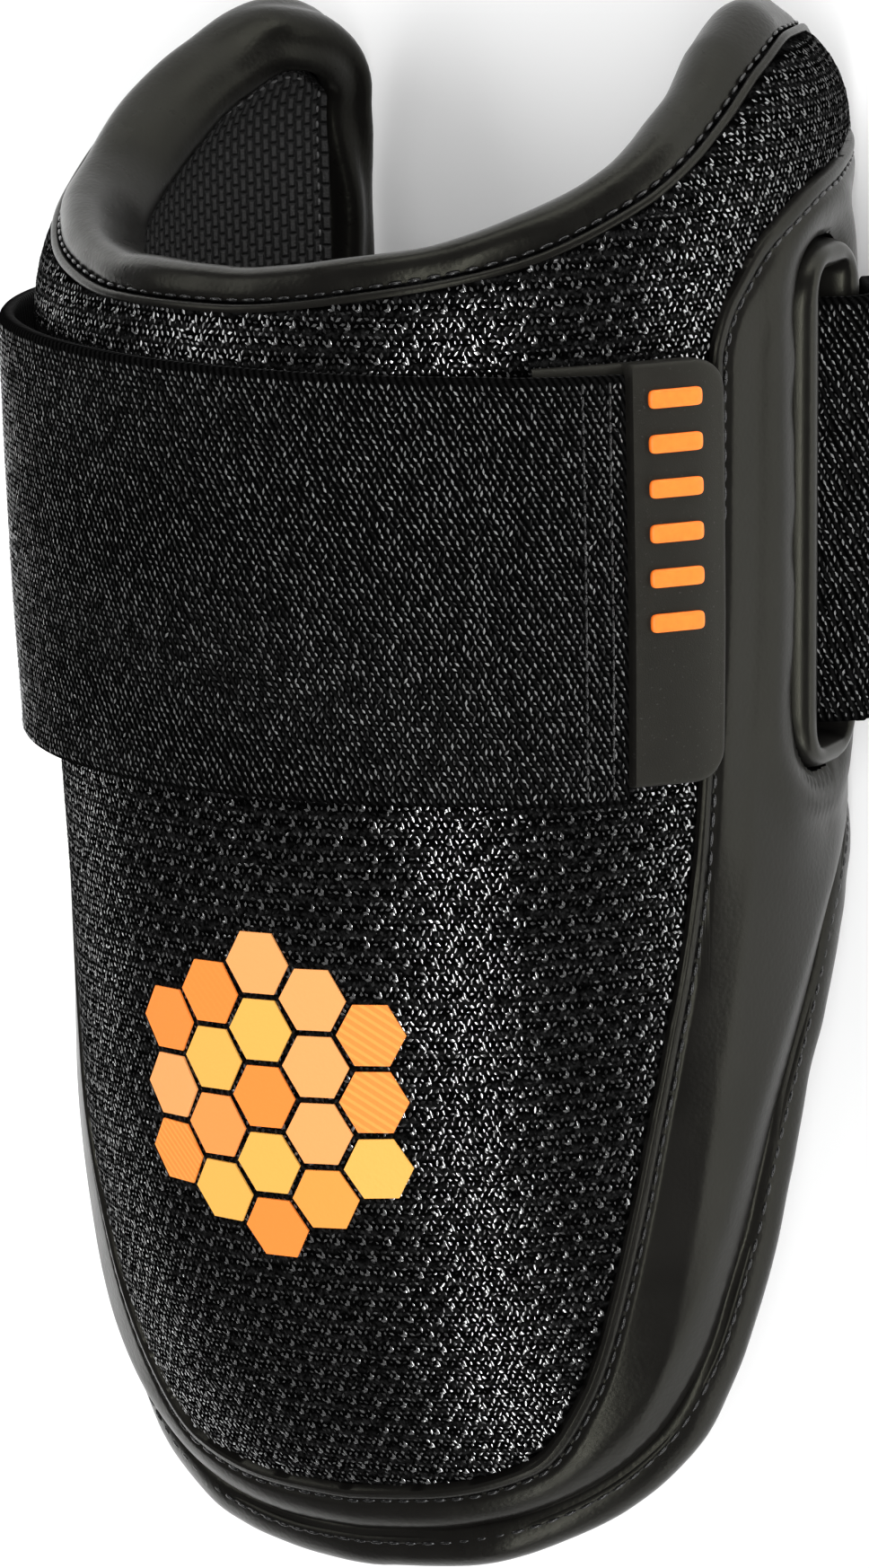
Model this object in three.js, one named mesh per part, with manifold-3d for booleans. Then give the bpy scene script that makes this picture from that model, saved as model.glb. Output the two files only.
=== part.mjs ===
// Elbow guard for a batter: a padded forearm shell that lies on its back, open side down.
// Millimetres. The arm runs along Y with the upper-arm end at +Y, the front of the guard faces +Z,
// and the strap's flat back stretch lies on the plane Z = 0.
import * as THREE from "three";
import { mergeVertices } from "three/addons/utils/BufferGeometryUtils.js";
import Module from "manifold-3d";

// Driving dimensions
const ARM_RADIUS = 59.3;
const WALL = 12;
const LINING = 1.9;
const FIT_GAP = 0.35;
const LAYER_GAP = 0.5;
const REAR_ANGLE = 130;
const REAR_CORNER = 9;
const LEAN_REACH = 18;
const REAR_ROLL_REACH = 7.5;
const LOWER_ROLL_REACH = 8.5;
const ROLL_FULLNESS = 0.65;
const ROLL_PROUD = 0.4;
const SIDE_PUFF = 1.2;
const PUFF_FADE_FROM = 82;
const PUFF_FADE_TO = 98;
const STRAP_WIDTH = 62.4;
const STRAP_THICK = 2.4;
const STRAP_MIDDLE = 156.6;
const STRAP_END_ANGLE = 53.5;
const STRAP_ANCHOR_ANGLE = 70;
const SEAT_GAP = 0.6;
const BACK_DROP = 45.8;
const BACK_ROUNDING = 3;
const RING_ANGLE = 97.5;
const RING_LENGTH = 77.5;
const RING_WIDTH = 22;
const RING_BAR = 5.4;
const RING_END = 4.5;
const RING_CORNER = 9.5;
const SLOT_CORNER = 1.5;
const RING_PROUD = 1.9;
const RING_BEVEL = 1.2;
const RING_STATION = 158;
const TAB_BASE_ANGLE = 41.5;
const TAB_END_ANGLE = 68;
const TAB_LOW = 122.6;
const TAB_HIGH = 184.2;
const TAB_CORNER = 4.8;
const TAB_BASE_THICK = 1.1;
const TAB_THICK = 3.2;
const TAB_TIP_RISE = 1.2;
const MIDDLE_STATION = 115.7;
const MIDDLE_SIDE = -0.7;

// Round sections of the outer face along the arm: radius, how far each sits back, and its shift aside
const SECTIONS = [
  { station: -8, radius: 54.5, setback: 34, aside: -3 },
  { station: 0, radius: 55, setback: 30, aside: -2.6 },
  { station: 11, radius: 55.3, setback: 23.8, aside: -2.1 },
  { station: 25, radius: 55.6, setback: 15.3, aside: -1.3 },
  { station: 47, radius: 56, setback: 6.2, aside: -0.4 },
  { station: 74, radius: 56.3, setback: 0.6, aside: 0 },
  { station: 100, radius: 57, setback: 0, aside: 0 },
  { station: 122, radius: 58, setback: 0, aside: 0 },
  { station: 150, radius: ARM_RADIUS, setback: 0, aside: 0 },
  { station: 190, radius: 60, setback: 0, aside: 0 },
  { station: 240, radius: 60, setback: 0, aside: 0 },
];

// Seam of the edge roll along the upper rim, how far the wall leans in there, and the roll's reach past it
const RIM = [
  { angle: -130, station: 221, lean: 4.5, roll: 7.5 },
  { angle: -120, station: 221, lean: 5, roll: 7.5 },
  { angle: -105, station: 217, lean: 5, roll: 7 },
  { angle: -88, station: 209, lean: 4.5, roll: 6.5 },
  { angle: -75, station: 203.2, lean: 4.2, roll: 6.2 },
  { angle: -60, station: 199, lean: 4, roll: 6 },
  { angle: -42, station: 195.6, lean: 3.5, roll: 6 },
  { angle: -26, station: 193.8, lean: 3, roll: 6 },
  { angle: -5, station: 193.6, lean: 3, roll: 6 },
  { angle: 23, station: 196.6, lean: 3, roll: 6 },
  { angle: 39, station: 199.5, lean: 3, roll: 6.3 },
  { angle: 60, station: 207, lean: 4, roll: 7 },
  { angle: 69, station: 211.5, lean: 5, roll: 7.6 },
  { angle: 78, station: 216.5, lean: 6.5, roll: 8.4 },
  { angle: 90, station: 223, lean: 7.5, roll: 9 },
  { angle: 104, station: 226.5, lean: 8, roll: 9 },
  { angle: 117, station: 226, lean: 7.5, roll: 8.5 },
  { angle: 130, station: 221, lean: 6, roll: 7.5 },
];

// Seam of the edge roll along the lower edge, the same on both sides
const LOWER = [
  { angle: 0, station: 7.2 },
  { angle: 12, station: 7.8 },
  { angle: 24, station: 9.8 },
  { angle: 36, station: 13.8 },
  { angle: 50, station: 21.8 },
  { angle: 62, station: 34 },
  { angle: 73, station: 51.5 },
  { angle: 85, station: 72.5 },
  { angle: 95, station: 88 },
  { angle: 103, station: 98.5 },
  { angle: 115, station: 106.5 },
  { angle: 130, station: 111.5 },
];

// Seam between the knit front and the leather border
const KNIT_SEAM = [
  { angle: 0, right: 15, left: 15 },
  { angle: 15, right: 16, left: 16 },
  { angle: 30, right: 20, left: 20 },
  { angle: 41, right: 31.5, left: 31.5 },
  { angle: 53.6, right: 59, left: 59 },
  { angle: 61, right: 83, left: 83 },
  { angle: 66.6, right: 110, left: 110 },
  { angle: 68.4, right: 140, left: 140 },
  { angle: 69.6, right: 184, left: 176 },
  { angle: 75, right: 194, left: 184 },
  { angle: 82, right: 200.5, left: 190 },
  { angle: 95, right: 206, left: 198 },
  { angle: 120, right: 209, left: 206 },
  { angle: 134, right: 210, left: 207 },
];

// The strap's fixed end: it comes over the ring's rear bar, goes through the slot and lies inside
const STRAP_ANCHOR = [
  { angle: 121, lift: 1.9 },
  { angle: 115, lift: 2.6 },
  { angle: 110.5, lift: 4 },
  { angle: 106.5, lift: 4.7 },
  { angle: 103.5, lift: 4.4 },
  { angle: 101, lift: 2.2 },
  { angle: 99.6, lift: -2 },
  { angle: 98.2, lift: -6 },
  { angle: 96.6, lift: -10 },
  { angle: 94.2, lift: -13.2 },
  { angle: 90.5, lift: -14.6 },
  { angle: 80, lift: -14 },
  { angle: STRAP_ANCHOR_ANGLE, lift: -13.8 },
];

// Station of the strap's middle line from the back to the free end, and how far it stands off the pad
const STRAP_LAY = [
  { angle: -236, station: 152.5, standoff: 0 },
  { angle: -218, station: 149.5, standoff: 0 },
  { angle: -180, station: 147, standoff: 0 },
  { angle: -142, station: 149.5, standoff: 0 },
  { angle: -128, station: 151.5, standoff: 0 },
  { angle: -112, station: 153.8, standoff: 1.2 },
  { angle: -90, station: 155, standoff: 2.2 },
  { angle: -62, station: 154.9, standoff: 2.2 },
  { angle: -42, station: 154.5, standoff: 1.2 },
  { angle: -22, station: 154, standoff: 0.2 },
  { angle: 0, station: 153.5, standoff: 0 },
  { angle: STRAP_END_ANGLE, station: 151.6, standoff: 0 },
];

// Angles at which the strap's way and the tab are drawn, closer together where they bend
const STRAP_FRONT_ANGLES = [STRAP_END_ANGLE, 47, 40, 36, 32, 26, 18, 10, 3, -4, -11, -18, -25, -33];
const STRAP_SIDE_ANGLES = [-41, -49, -57, -65, -73, -80, -87, -94, -101, -108, -114, -120];
const STRAP_BACK_BENDS = [126, 131, 135, 138, 141, 144, 148, 155, 165];
const TAB_BASE_ANGLES = [TAB_BASE_ANGLE, 44, 49];
const TAB_GRIP_ANGLES = [58, 62, 64.5, 66.3, 67.4, TAB_END_ANGLE];
const TAB_STEP = { from: STRAP_END_ANGLE + 0.4, to: STRAP_END_ANGLE + 0.8 };

const wasm = await Module();
wasm.setup();

const radians = THREE.MathUtils.degToRad;

// Smooth value from a table, with no overshoot between its rows
function lookUp(rows, key, column, at) {
  const last = rows.length - 1;
  const x = THREE.MathUtils.clamp(at, rows[0][key], rows[last][key]);
  const slope = (k) => (rows[k + 1][column] - rows[k][column]) / (rows[k + 1][key] - rows[k][key]);
  const tangent = (k) => {
    if (k === 0) return slope(0);
    if (k === last) return slope(last - 1);
    const before = slope(k - 1);
    const after = slope(k);
    return before * after > 0 ? (2 * before * after) / (before + after) : 0;
  };
  let row = 0;
  while (row < last - 1 && x > rows[row + 1][key]) row += 1;
  const span = rows[row + 1][key] - rows[row][key];
  const t = (x - rows[row][key]) / span;
  const share = t * t * (3 - 2 * t);
  const level = rows[row][column] * (1 - share) + rows[row + 1][column] * share;
  const leaving = tangent(row) * span * t * (1 - t) ** 2;
  const arriving = tangent(row + 1) * span * t * t * (t - 1);
  return level + leaving + arriving;
}

// Rounding of the wing's rear corners, as a rise of the edge near the rear angle
function cornerRise(angle) {
  const arc = radians(REAR_ANGLE - Math.abs(angle)) * (ARM_RADIUS - WALL / 2);
  const into = THREE.MathUtils.clamp(1 - arc / REAR_CORNER, 0, 1);
  return REAR_CORNER * (1 - Math.sqrt(1 - into * into));
}

const rimStation = (angle) => lookUp(RIM, "angle", "station", angle) - cornerRise(angle);
const lowerStation = (angle) => lookUp(LOWER, "angle", "station", Math.abs(angle)) + cornerRise(angle);
const knitSeam = (angle) => lookUp(KNIT_SEAM, "angle", angle < 0 ? "left" : "right", Math.abs(angle));

function wallRadius(angle, station) {
  const below = lookUp(RIM, "angle", "station", angle) - station;
  const near = THREE.MathUtils.clamp(1 - below / LEAN_REACH, 0, 1.2);
  return lookUp(SECTIONS, "station", "radius", station) - lookUp(RIM, "angle", "lean", angle) * near ** 3;
}

// A point of the outer face, lifted off it along the arm's radius
function outerPoint(angle, station, lift = 0) {
  const reach = wallRadius(angle, station) + lift;
  const across = lookUp(SECTIONS, "station", "aside", station) + reach * Math.sin(radians(angle));
  const height = reach * Math.cos(radians(angle)) - lookUp(SECTIONS, "station", "setback", station);
  return new THREE.Vector3(across, station, height);
}

function outerNormal(angle, station) {
  const step = 0.05;
  const across = outerPoint(angle + step, station).sub(outerPoint(angle - step, station));
  const along = outerPoint(angle, station + step).sub(outerPoint(angle, station - step));
  return across.cross(along).normalize();
}

// A point of the wall at a depth under its outer face, measured square to that face
function wallPoint(angle, station, depth) {
  return outerPoint(angle, station).addScaledVector(outerNormal(angle, station), -depth);
}

const steps = (count) => Array.from({ length: count + 1 }, (_, k) => k / count);

// Closed solid between two grids of points that have the same rows and columns
function slab(top, bottom) {
  const rows = top.length;
  const columns = top[0].length;
  const end = columns - 1;
  const points = [...top.flat(), ...bottom.flat()];
  const at = (row, column, side) => side * rows * columns + row * columns + column;
  const faces = [];
  const quad = (a, b, c, d) => faces.push(a, b, c, a, c, d);
  for (let i = 0; i + 1 < rows; i += 1) {
    for (let j = 0; j + 1 < columns; j += 1) {
      quad(at(i, j, 0), at(i, j + 1, 0), at(i + 1, j + 1, 0), at(i + 1, j, 0));
      quad(at(i, j, 1), at(i + 1, j, 1), at(i + 1, j + 1, 1), at(i, j + 1, 1));
    }
  }
  for (let i = 0; i + 1 < rows; i += 1) {
    quad(at(i, 0, 0), at(i + 1, 0, 0), at(i + 1, 0, 1), at(i, 0, 1));
    quad(at(i + 1, end, 0), at(i, end, 0), at(i, end, 1), at(i + 1, end, 1));
  }
  for (let j = 0; j + 1 < columns; j += 1) {
    quad(at(0, j + 1, 0), at(0, j, 0), at(0, j, 1), at(0, j + 1, 1));
    quad(at(rows - 1, j, 0), at(rows - 1, j + 1, 0), at(rows - 1, j + 1, 1), at(rows - 1, j, 1));
  }
  return new THREE.BufferGeometry().setFromPoints(points).setIndex(faces);
}

// Closed tube through a ring of sections, each a loop of points
function loopTube(sections) {
  const count = sections.length;
  const sides = sections[0].length;
  const faces = [];
  for (let i = 0; i < count; i += 1) {
    const next = (i + 1) % count;
    for (let j = 0; j < sides; j += 1) {
      const beside = (j + 1) % sides;
      const [a, b] = [i * sides + j, i * sides + beside];
      const [c, d] = [next * sides + beside, next * sides + j];
      faces.push(a, b, c, a, c, d);
    }
  }
  return new THREE.BufferGeometry().setFromPoints(sections.flat()).setIndex(faces);
}

function toManifold(geometry) {
  const bare = geometry.clone();
  bare.deleteAttribute("normal");
  bare.deleteAttribute("uv");
  const merged = mergeVertices(bare, 1e-4);
  const vertProperties = new Float32Array(merged.attributes.position.array);
  const triVerts = new Uint32Array(merged.index.array);
  return new wasm.Manifold(new wasm.Mesh({ numProp: 3, vertProperties, triVerts }));
}

function cut(geometry, cutter) {
  const mesh = toManifold(geometry).subtract(toManifold(cutter)).getMesh();
  const result = new THREE.BufferGeometry();
  result.setAttribute("position", new THREE.BufferAttribute(new Float32Array(mesh.vertProperties), 3));
  result.setIndex(Array.from(mesh.triVerts));
  return result;
}

// Columns of the wall, closer together where the knit's seam runs along the arm and at the rear corners
const SIDE_COLUMNS = [
  9, 18, 27, 35, 42, 48, 53.6, 58, 61.5, 64.5, 66.6, 67.6, 68.4, 69, 69.6, 71, 74, 79, 85, 91, 97.5,
  104, 110, 115, 119.5, 123.5, 126.5, 128.8, REAR_ANGLE,
];
const COLUMNS = [...SIDE_COLUMNS.map((angle) => -angle).reverse(), 0, ...SIDE_COLUMNS];
const LINING_COLUMNS = [
  -REAR_ANGLE, -128.8, -126, -122, ...steps(34).map((t) => -117 + 234 * t), 122, 126, 128.8, REAR_ANGLE,
];
const FRONT_ROWS = 11;
const LINING_ROWS = 10;
const SIDE_ROWS = 6;
const SEAM_SHIFT = 0.18;

const ease = (t) => t ** 1.3;
const panelDepth = WALL - LINING - LAYER_GAP;

// A panel of the wall between two seams, from one depth to another
function panel(columns, rows, fromStation, toStation, topDepth, bottomDepth) {
  const grid = (depthAt) =>
    rows.map((v) =>
      columns.map((angle) => {
        const station = THREE.MathUtils.lerp(fromStation(angle), toStation(angle), v);
        return wallPoint(angle, station, depthAt(v, angle));
      }),
    );
  return slab(grid(topDepth), grid(bottomDepth));
}

// Upright oblong with rounded corners, centred on the origin
function oblong(width, length, corner) {
  const shape = new THREE.Shape();
  const [side, end] = [width / 2 - corner, length / 2 - corner];
  shape.moveTo(width / 2, -end);
  shape.lineTo(width / 2, end);
  shape.absarc(side, end, corner, 0, Math.PI / 2, false);
  shape.lineTo(-side, length / 2);
  shape.absarc(-side, end, corner, Math.PI / 2, Math.PI, false);
  shape.lineTo(-width / 2, -end);
  shape.absarc(-side, -end, corner, Math.PI, 1.5 * Math.PI, false);
  shape.lineTo(side, -length / 2);
  shape.absarc(side, -end, corner, 1.5 * Math.PI, 2 * Math.PI, false);
  return shape;
}

// Turns a shape drawn flat so that it faces out of the right wing at the slot
function placeAtSlot(geometry) {
  const low = outerPoint(RING_ANGLE, RING_STATION - RING_LENGTH / 2);
  const high = outerPoint(RING_ANGLE, RING_STATION + RING_LENGTH / 2);
  const along = high.clone().sub(low).normalize();
  const across = new THREE.Vector3(Math.cos(radians(RING_ANGLE)), 0, -Math.sin(radians(RING_ANGLE)));
  const out = across.clone().cross(along).normalize();
  const middle = low.add(high).multiplyScalar(0.5);
  const basis = new THREE.Matrix4().makeBasis(across, along, out).setPosition(middle);
  return geometry.applyMatrix4(basis);
}

function slotCutter() {
  const depth = 3 * WALL;
  const outline = oblong(RING_WIDTH + 2 * FIT_GAP, RING_LENGTH + 2 * FIT_GAP, RING_CORNER + FIT_GAP);
  const geometry = new THREE.ExtrudeGeometry(outline, { depth, bevelEnabled: false, curveSegments: 6 });
  return placeAtSlot(geometry.translate(0, 0, -depth / 2));
}

function frontPanel() {
  const low = (angle) => knitSeam(angle + Math.sign(angle) * SEAM_SHIFT) + FIT_GAP / 2;
  const high = (angle) => rimStation(angle);
  const reach = COLUMNS.filter((angle) => high(angle) - low(angle) > 2);
  return panel(reach, steps(FRONT_ROWS).map(ease), low, high, () => 0, () => panelDepth);
}

function sidePanel() {
  const seam = (angle) => knitSeam(angle - Math.sign(angle) * SEAM_SHIFT) - FIT_GAP / 2;
  const high = (angle) => Math.min(seam(angle), rimStation(angle));
  const puff = (v, angle) => {
    const flat = THREE.MathUtils.smoothstep(Math.abs(angle), PUFF_FADE_FROM, PUFF_FADE_TO);
    return -SIDE_PUFF * Math.sin(Math.PI * v) * (1 - flat);
  };
  const whole = panel(COLUMNS, steps(SIDE_ROWS), lowerStation, high, puff, () => panelDepth);
  return cut(whole, slotCutter());
}

function lining() {
  const rows = steps(LINING_ROWS).map(ease);
  const top = () => WALL - LINING;
  const whole = panel(LINING_COLUMNS, rows, lowerStation, rimStation, top, () => WALL);
  return cut(whole, slotCutter());
}

// The seam round the whole edge, one way round, and how far the roll reaches past it
function edgeLoop() {
  const spot = (angle, station, reach) => ({ angle, station, reach });
  const lower = COLUMNS.map((angle) => {
    const rear = THREE.MathUtils.smoothstep(Math.abs(angle), REAR_ANGLE - 30, REAR_ANGLE);
    return spot(angle, lowerStation(angle), THREE.MathUtils.lerp(LOWER_ROLL_REACH, REAR_ROLL_REACH, rear));
  });
  const rim = COLUMNS.map((angle) => {
    return spot(angle, rimStation(angle), lookUp(RIM, "angle", "roll", angle));
  });
  const rearEdge = (angle) =>
    steps(7).slice(1, -1).map((t) => {
      const station = THREE.MathUtils.lerp(lowerStation(angle), rimStation(angle), t);
      return spot(angle, station, REAR_ROLL_REACH);
    });
  return [...lower, ...rearEdge(REAR_ANGLE), ...rim.reverse(), ...rearEdge(-REAR_ANGLE).reverse()];
}

function edgeRoll() {
  const loop = edgeLoop();
  const full = (value) => Math.sign(value) * Math.abs(value) ** ROLL_FULLNESS;
  const profile = steps(8).map((t) => {
    const turn = Math.PI * t;
    return { out: full(Math.sin(turn)), depth: WALL / 2 - (WALL / 2 + ROLL_PROUD) * full(Math.cos(turn)) };
  });
  const sections = loop.map(({ angle, station, reach }, k) => {
    const before = loop.at(k - 1);
    const after = loop[(k + 1) % loop.length];
    const seam = outerPoint(angle, station);
    const normal = outerNormal(angle, station);
    const along = outerPoint(after.angle, after.station).sub(outerPoint(before.angle, before.station));
    const out = along.cross(normal).normalize();
    return profile.map((p) =>
      seam.clone().addScaledVector(out, FIT_GAP + reach * p.out).addScaledVector(normal, -p.depth),
    );
  });
  return loopTube(sections);
}

function slotRing() {
  const outline = oblong(RING_WIDTH, RING_LENGTH, RING_CORNER);
  const opening = oblong(RING_WIDTH - 2 * RING_BAR, RING_LENGTH - 2 * RING_END, SLOT_CORNER);
  outline.holes.push(opening);
  const depth = WALL + RING_PROUD - 2 * RING_BEVEL;
  const settings = { depth, bevelSize: RING_BEVEL, bevelThickness: RING_BEVEL, bevelOffset: -RING_BEVEL };
  const geometry = new THREE.ExtrudeGeometry(outline, { ...settings, bevelSegments: 1, curveSegments: 5 });
  return placeAtSlot(geometry.translate(0, 0, RING_BEVEL - WALL));
}

// How far the strap's middle lies off the wall's outer face, from the free end round to the slot
function strapLift(angle) {
  const onTab = THREE.MathUtils.smoothstep(angle, TAB_BASE_ANGLE - 8, TAB_BASE_ANGLE - 1);
  const standoff = lookUp(STRAP_LAY, "angle", "standoff", angle);
  return SEAT_GAP + STRAP_THICK / 2 + standoff + onTab * (TAB_BASE_THICK + SEAT_GAP / 2);
}

// Smaller of two distances, rounded where they meet
function softSmaller(a, b, rounding) {
  const blend = Math.max(rounding - Math.abs(a - b), 0) / rounding;
  return Math.min(a, b) - (blend * blend * rounding) / 4;
}

// The strap's way round the arm at one station, as points across the arm
function strapWay(offset) {
  const way = [];
  const station = (angle) => lookUp(STRAP_LAY, "angle", "station", angle) + offset;
  for (const angle of [...STRAP_FRONT_ANGLES, ...STRAP_SIDE_ANGLES]) {
    way.push(outerPoint(angle, station(angle), strapLift(angle)));
  }
  const farBends = STRAP_BACK_BENDS.map((bend) => bend - 360).reverse();
  const round = [...STRAP_BACK_BENDS.map((bend) => -bend), -180, ...farBends];
  for (const angle of round) {
    const onWing = wallRadius(angle < -180 ? angle + 360 : angle, station(angle)) + strapLift(angle);
    const chord = (BACK_DROP + STRAP_THICK / 2) / -Math.cos(radians(angle));
    const reach = softSmaller(onWing, chord, BACK_ROUNDING);
    const [across, height] = [reach * Math.sin(radians(angle)), reach * Math.cos(radians(angle))];
    way.push(new THREE.Vector3(across, station(angle), height));
  }
  const anchor = STRAP_ANCHOR.map(({ angle, lift }) => outerPoint(angle, STRAP_MIDDLE + offset, lift));
  const curve = new THREE.CatmullRomCurve3(anchor, false, "centripetal");
  way.push(...curve.getPoints(2 * (anchor.length - 1)));
  return way;
}

function strap() {
  const offsets = steps(3).map((t) => (t - 0.5) * STRAP_WIDTH);
  const side = (sign) =>
    offsets.map((offset) => {
      const way = strapWay(offset);
      return way.map((point, k) => {
        const before = way[Math.max(k - 1, 0)];
        const after = way[Math.min(k + 1, way.length - 1)];
        const run = after.clone().sub(before).setY(0).normalize();
        const out = new THREE.Vector3(-run.z, 0, run.x);
        return point.clone().addScaledVector(out, (sign * STRAP_THICK) / 2);
      });
    });
  return slab(side(1), side(-1));
}

function pullTab() {
  const angles = [...TAB_BASE_ANGLES, TAB_STEP.from, TAB_STEP.to, ...TAB_GRIP_ANGLES];
  const offsets = steps(6);
  const corner = (angle) => {
    const arc = radians(TAB_END_ANGLE - angle) * ARM_RADIUS;
    const into = THREE.MathUtils.clamp(1 - arc / TAB_CORNER, 0, 1);
    return TAB_CORNER * (1 - Math.sqrt(1 - into * into));
  };
  const thickness = (angle) => (angle < TAB_STEP.to ? TAB_BASE_THICK : TAB_THICK);
  const grid = (lift) =>
    offsets.map((v) =>
      angles.map((angle) => {
        const station = THREE.MathUtils.lerp(TAB_LOW + corner(angle), TAB_HIGH - corner(angle), v);
        const rise = TAB_TIP_RISE * THREE.MathUtils.smoothstep(angle, STRAP_END_ANGLE, TAB_END_ANGLE - 2);
        return outerPoint(angle, station, SEAT_GAP + rise + lift(angle));
      }),
    );
  return slab(grid(thickness), grid(() => 0));
}

const LOOKS = {
  knit: { color: 0x1d1d1d, roughness: 0.6, metalness: 0 },
  leather: { color: 0x32322f, roughness: 0.5, metalness: 0 },
  waffle: { color: 0x2a2b29, roughness: 0.85, metalness: 0 },
  moulded: { color: 0x3c3d3a, roughness: 0.55, metalness: 0 },
  elastic: { color: 0x262625, roughness: 0.75, metalness: 0 },
};

const guard = new THREE.Group();

function add(name, geometry, look) {
  const shaded = geometry.index ? geometry : mergeVertices(geometry);
  shaded.computeVertexNormals();
  const mesh = new THREE.Mesh(shaded, new THREE.MeshStandardMaterial(LOOKS[look]));
  mesh.name = name;
  guard.add(mesh);
}

add("front_panel", frontPanel(), "knit");
add("side_panel", sidePanel(), "leather");
add("lining", lining(), "waffle");
add("edge_roll", edgeRoll(), "leather");
add("slot_ring", slotRing(), "moulded");
add("strap", strap(), "elastic");
add("pull_tab", pullTab(), "moulded");

// The strap's flat back stretch lies on the plane Z = 0, under the middle of the part
guard.position.set(-MIDDLE_SIDE, -MIDDLE_STATION, BACK_DROP + STRAP_THICK);

export default guard;
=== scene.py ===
import math
import bpy
import numpy as np
from mathutils import Matrix, Vector, kdtree, noise
from mathutils.bvhtree import BVHTree


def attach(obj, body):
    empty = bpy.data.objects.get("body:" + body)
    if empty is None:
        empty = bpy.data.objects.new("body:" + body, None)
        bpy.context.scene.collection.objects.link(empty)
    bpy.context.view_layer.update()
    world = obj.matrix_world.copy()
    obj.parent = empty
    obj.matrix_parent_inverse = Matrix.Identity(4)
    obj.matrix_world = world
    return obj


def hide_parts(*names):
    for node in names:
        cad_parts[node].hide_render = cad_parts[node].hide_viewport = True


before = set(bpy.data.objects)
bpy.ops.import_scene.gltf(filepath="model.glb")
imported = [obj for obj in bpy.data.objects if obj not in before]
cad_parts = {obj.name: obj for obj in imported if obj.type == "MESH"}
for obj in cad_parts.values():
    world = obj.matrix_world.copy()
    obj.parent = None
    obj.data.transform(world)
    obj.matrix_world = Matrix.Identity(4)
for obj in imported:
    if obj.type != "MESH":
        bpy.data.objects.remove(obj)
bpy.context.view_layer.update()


# The camera stands where the photograph was taken from: turned towards the slot ring, a little above
# the upper rim, far off with a long lens. The guard lies on its back, so the camera looks down on it.
CAMERA_TURN, CAMERA_RISE, CAMERA_ROLL = (math.radians(a) for a in (30, 10, 1.5))
CAMERA_DISTANCE = 2.2
FRAME_HEIGHT = 0.2305
SENSOR = 36
AIM = Vector((0.0007, 0.0023, 0.0482))
AIM_SHIFT = (-0.00308, -0.00388)

back = Vector((math.sin(CAMERA_TURN) * math.cos(CAMERA_RISE), math.sin(CAMERA_RISE),
               math.cos(CAMERA_TURN) * math.cos(CAMERA_RISE)))
level_right = Vector((math.cos(CAMERA_TURN), 0, -math.sin(CAMERA_TURN)))
level_up = back.cross(level_right)
view_right = math.cos(CAMERA_ROLL) * level_right - math.sin(CAMERA_ROLL) * level_up
view_up = math.sin(CAMERA_ROLL) * level_right + math.cos(CAMERA_ROLL) * level_up


def look_along(place, right, up, backward):
    turn = Matrix((right, up, backward)).transposed()
    return Matrix.Translation(place) @ turn.to_4x4()


lens = bpy.data.cameras.new("camera")
lens.sensor_width = SENSOR
lens.lens = SENSOR * CAMERA_DISTANCE / FRAME_HEIGHT
camera = bpy.data.objects.new("camera", lens)
stand = AIM + AIM_SHIFT[0] * view_right + AIM_SHIFT[1] * view_up + CAMERA_DISTANCE * back
camera.matrix_world = look_along(stand, view_right, view_up, back)
bpy.context.collection.objects.link(camera)
bpy.context.scene.camera = camera


# Studio: tall strips by the camera and below it for the sheen down the front, a soft box at the left and
# one past the upper rim, lamps over the floor on three sides that keep it white, and a white surround.
LIGHTS = [
    # name, place, aim, width, height, spread, watts
    ("key_strip", (0.95, -0.08, 1.69), AIM, 0.12, 1.8, 180, 22),
    ("low_strip", (0.46, -1.31, 0.84), AIM, 0.12, 1.2, 180, 9),
    ("left_box", (-0.78, 0.44, 0.85), AIM, 0.4, 1.0, 180, 4),
    ("top_box", (0.2, 1.18, 0.35), AIM, 0.9, 0.4, 180, 5),
    ("right_wash", (0.42, 0.0, 0.5), (0.42, 0.0, 0.0), 0.3, 0.8, 60, 3),
    ("left_wash", (-0.42, 0.05, 0.5), (-0.42, 0.05, 0.0), 0.3, 0.8, 60, 2),
    ("far_wash", (0.0, 0.5, 0.5), (0.0, 0.5, 0.0), 0.5, 0.3, 50, 1.3),
]
SURROUND = 0.72
SURROUND_IN_GLOSS = 0.06


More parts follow.
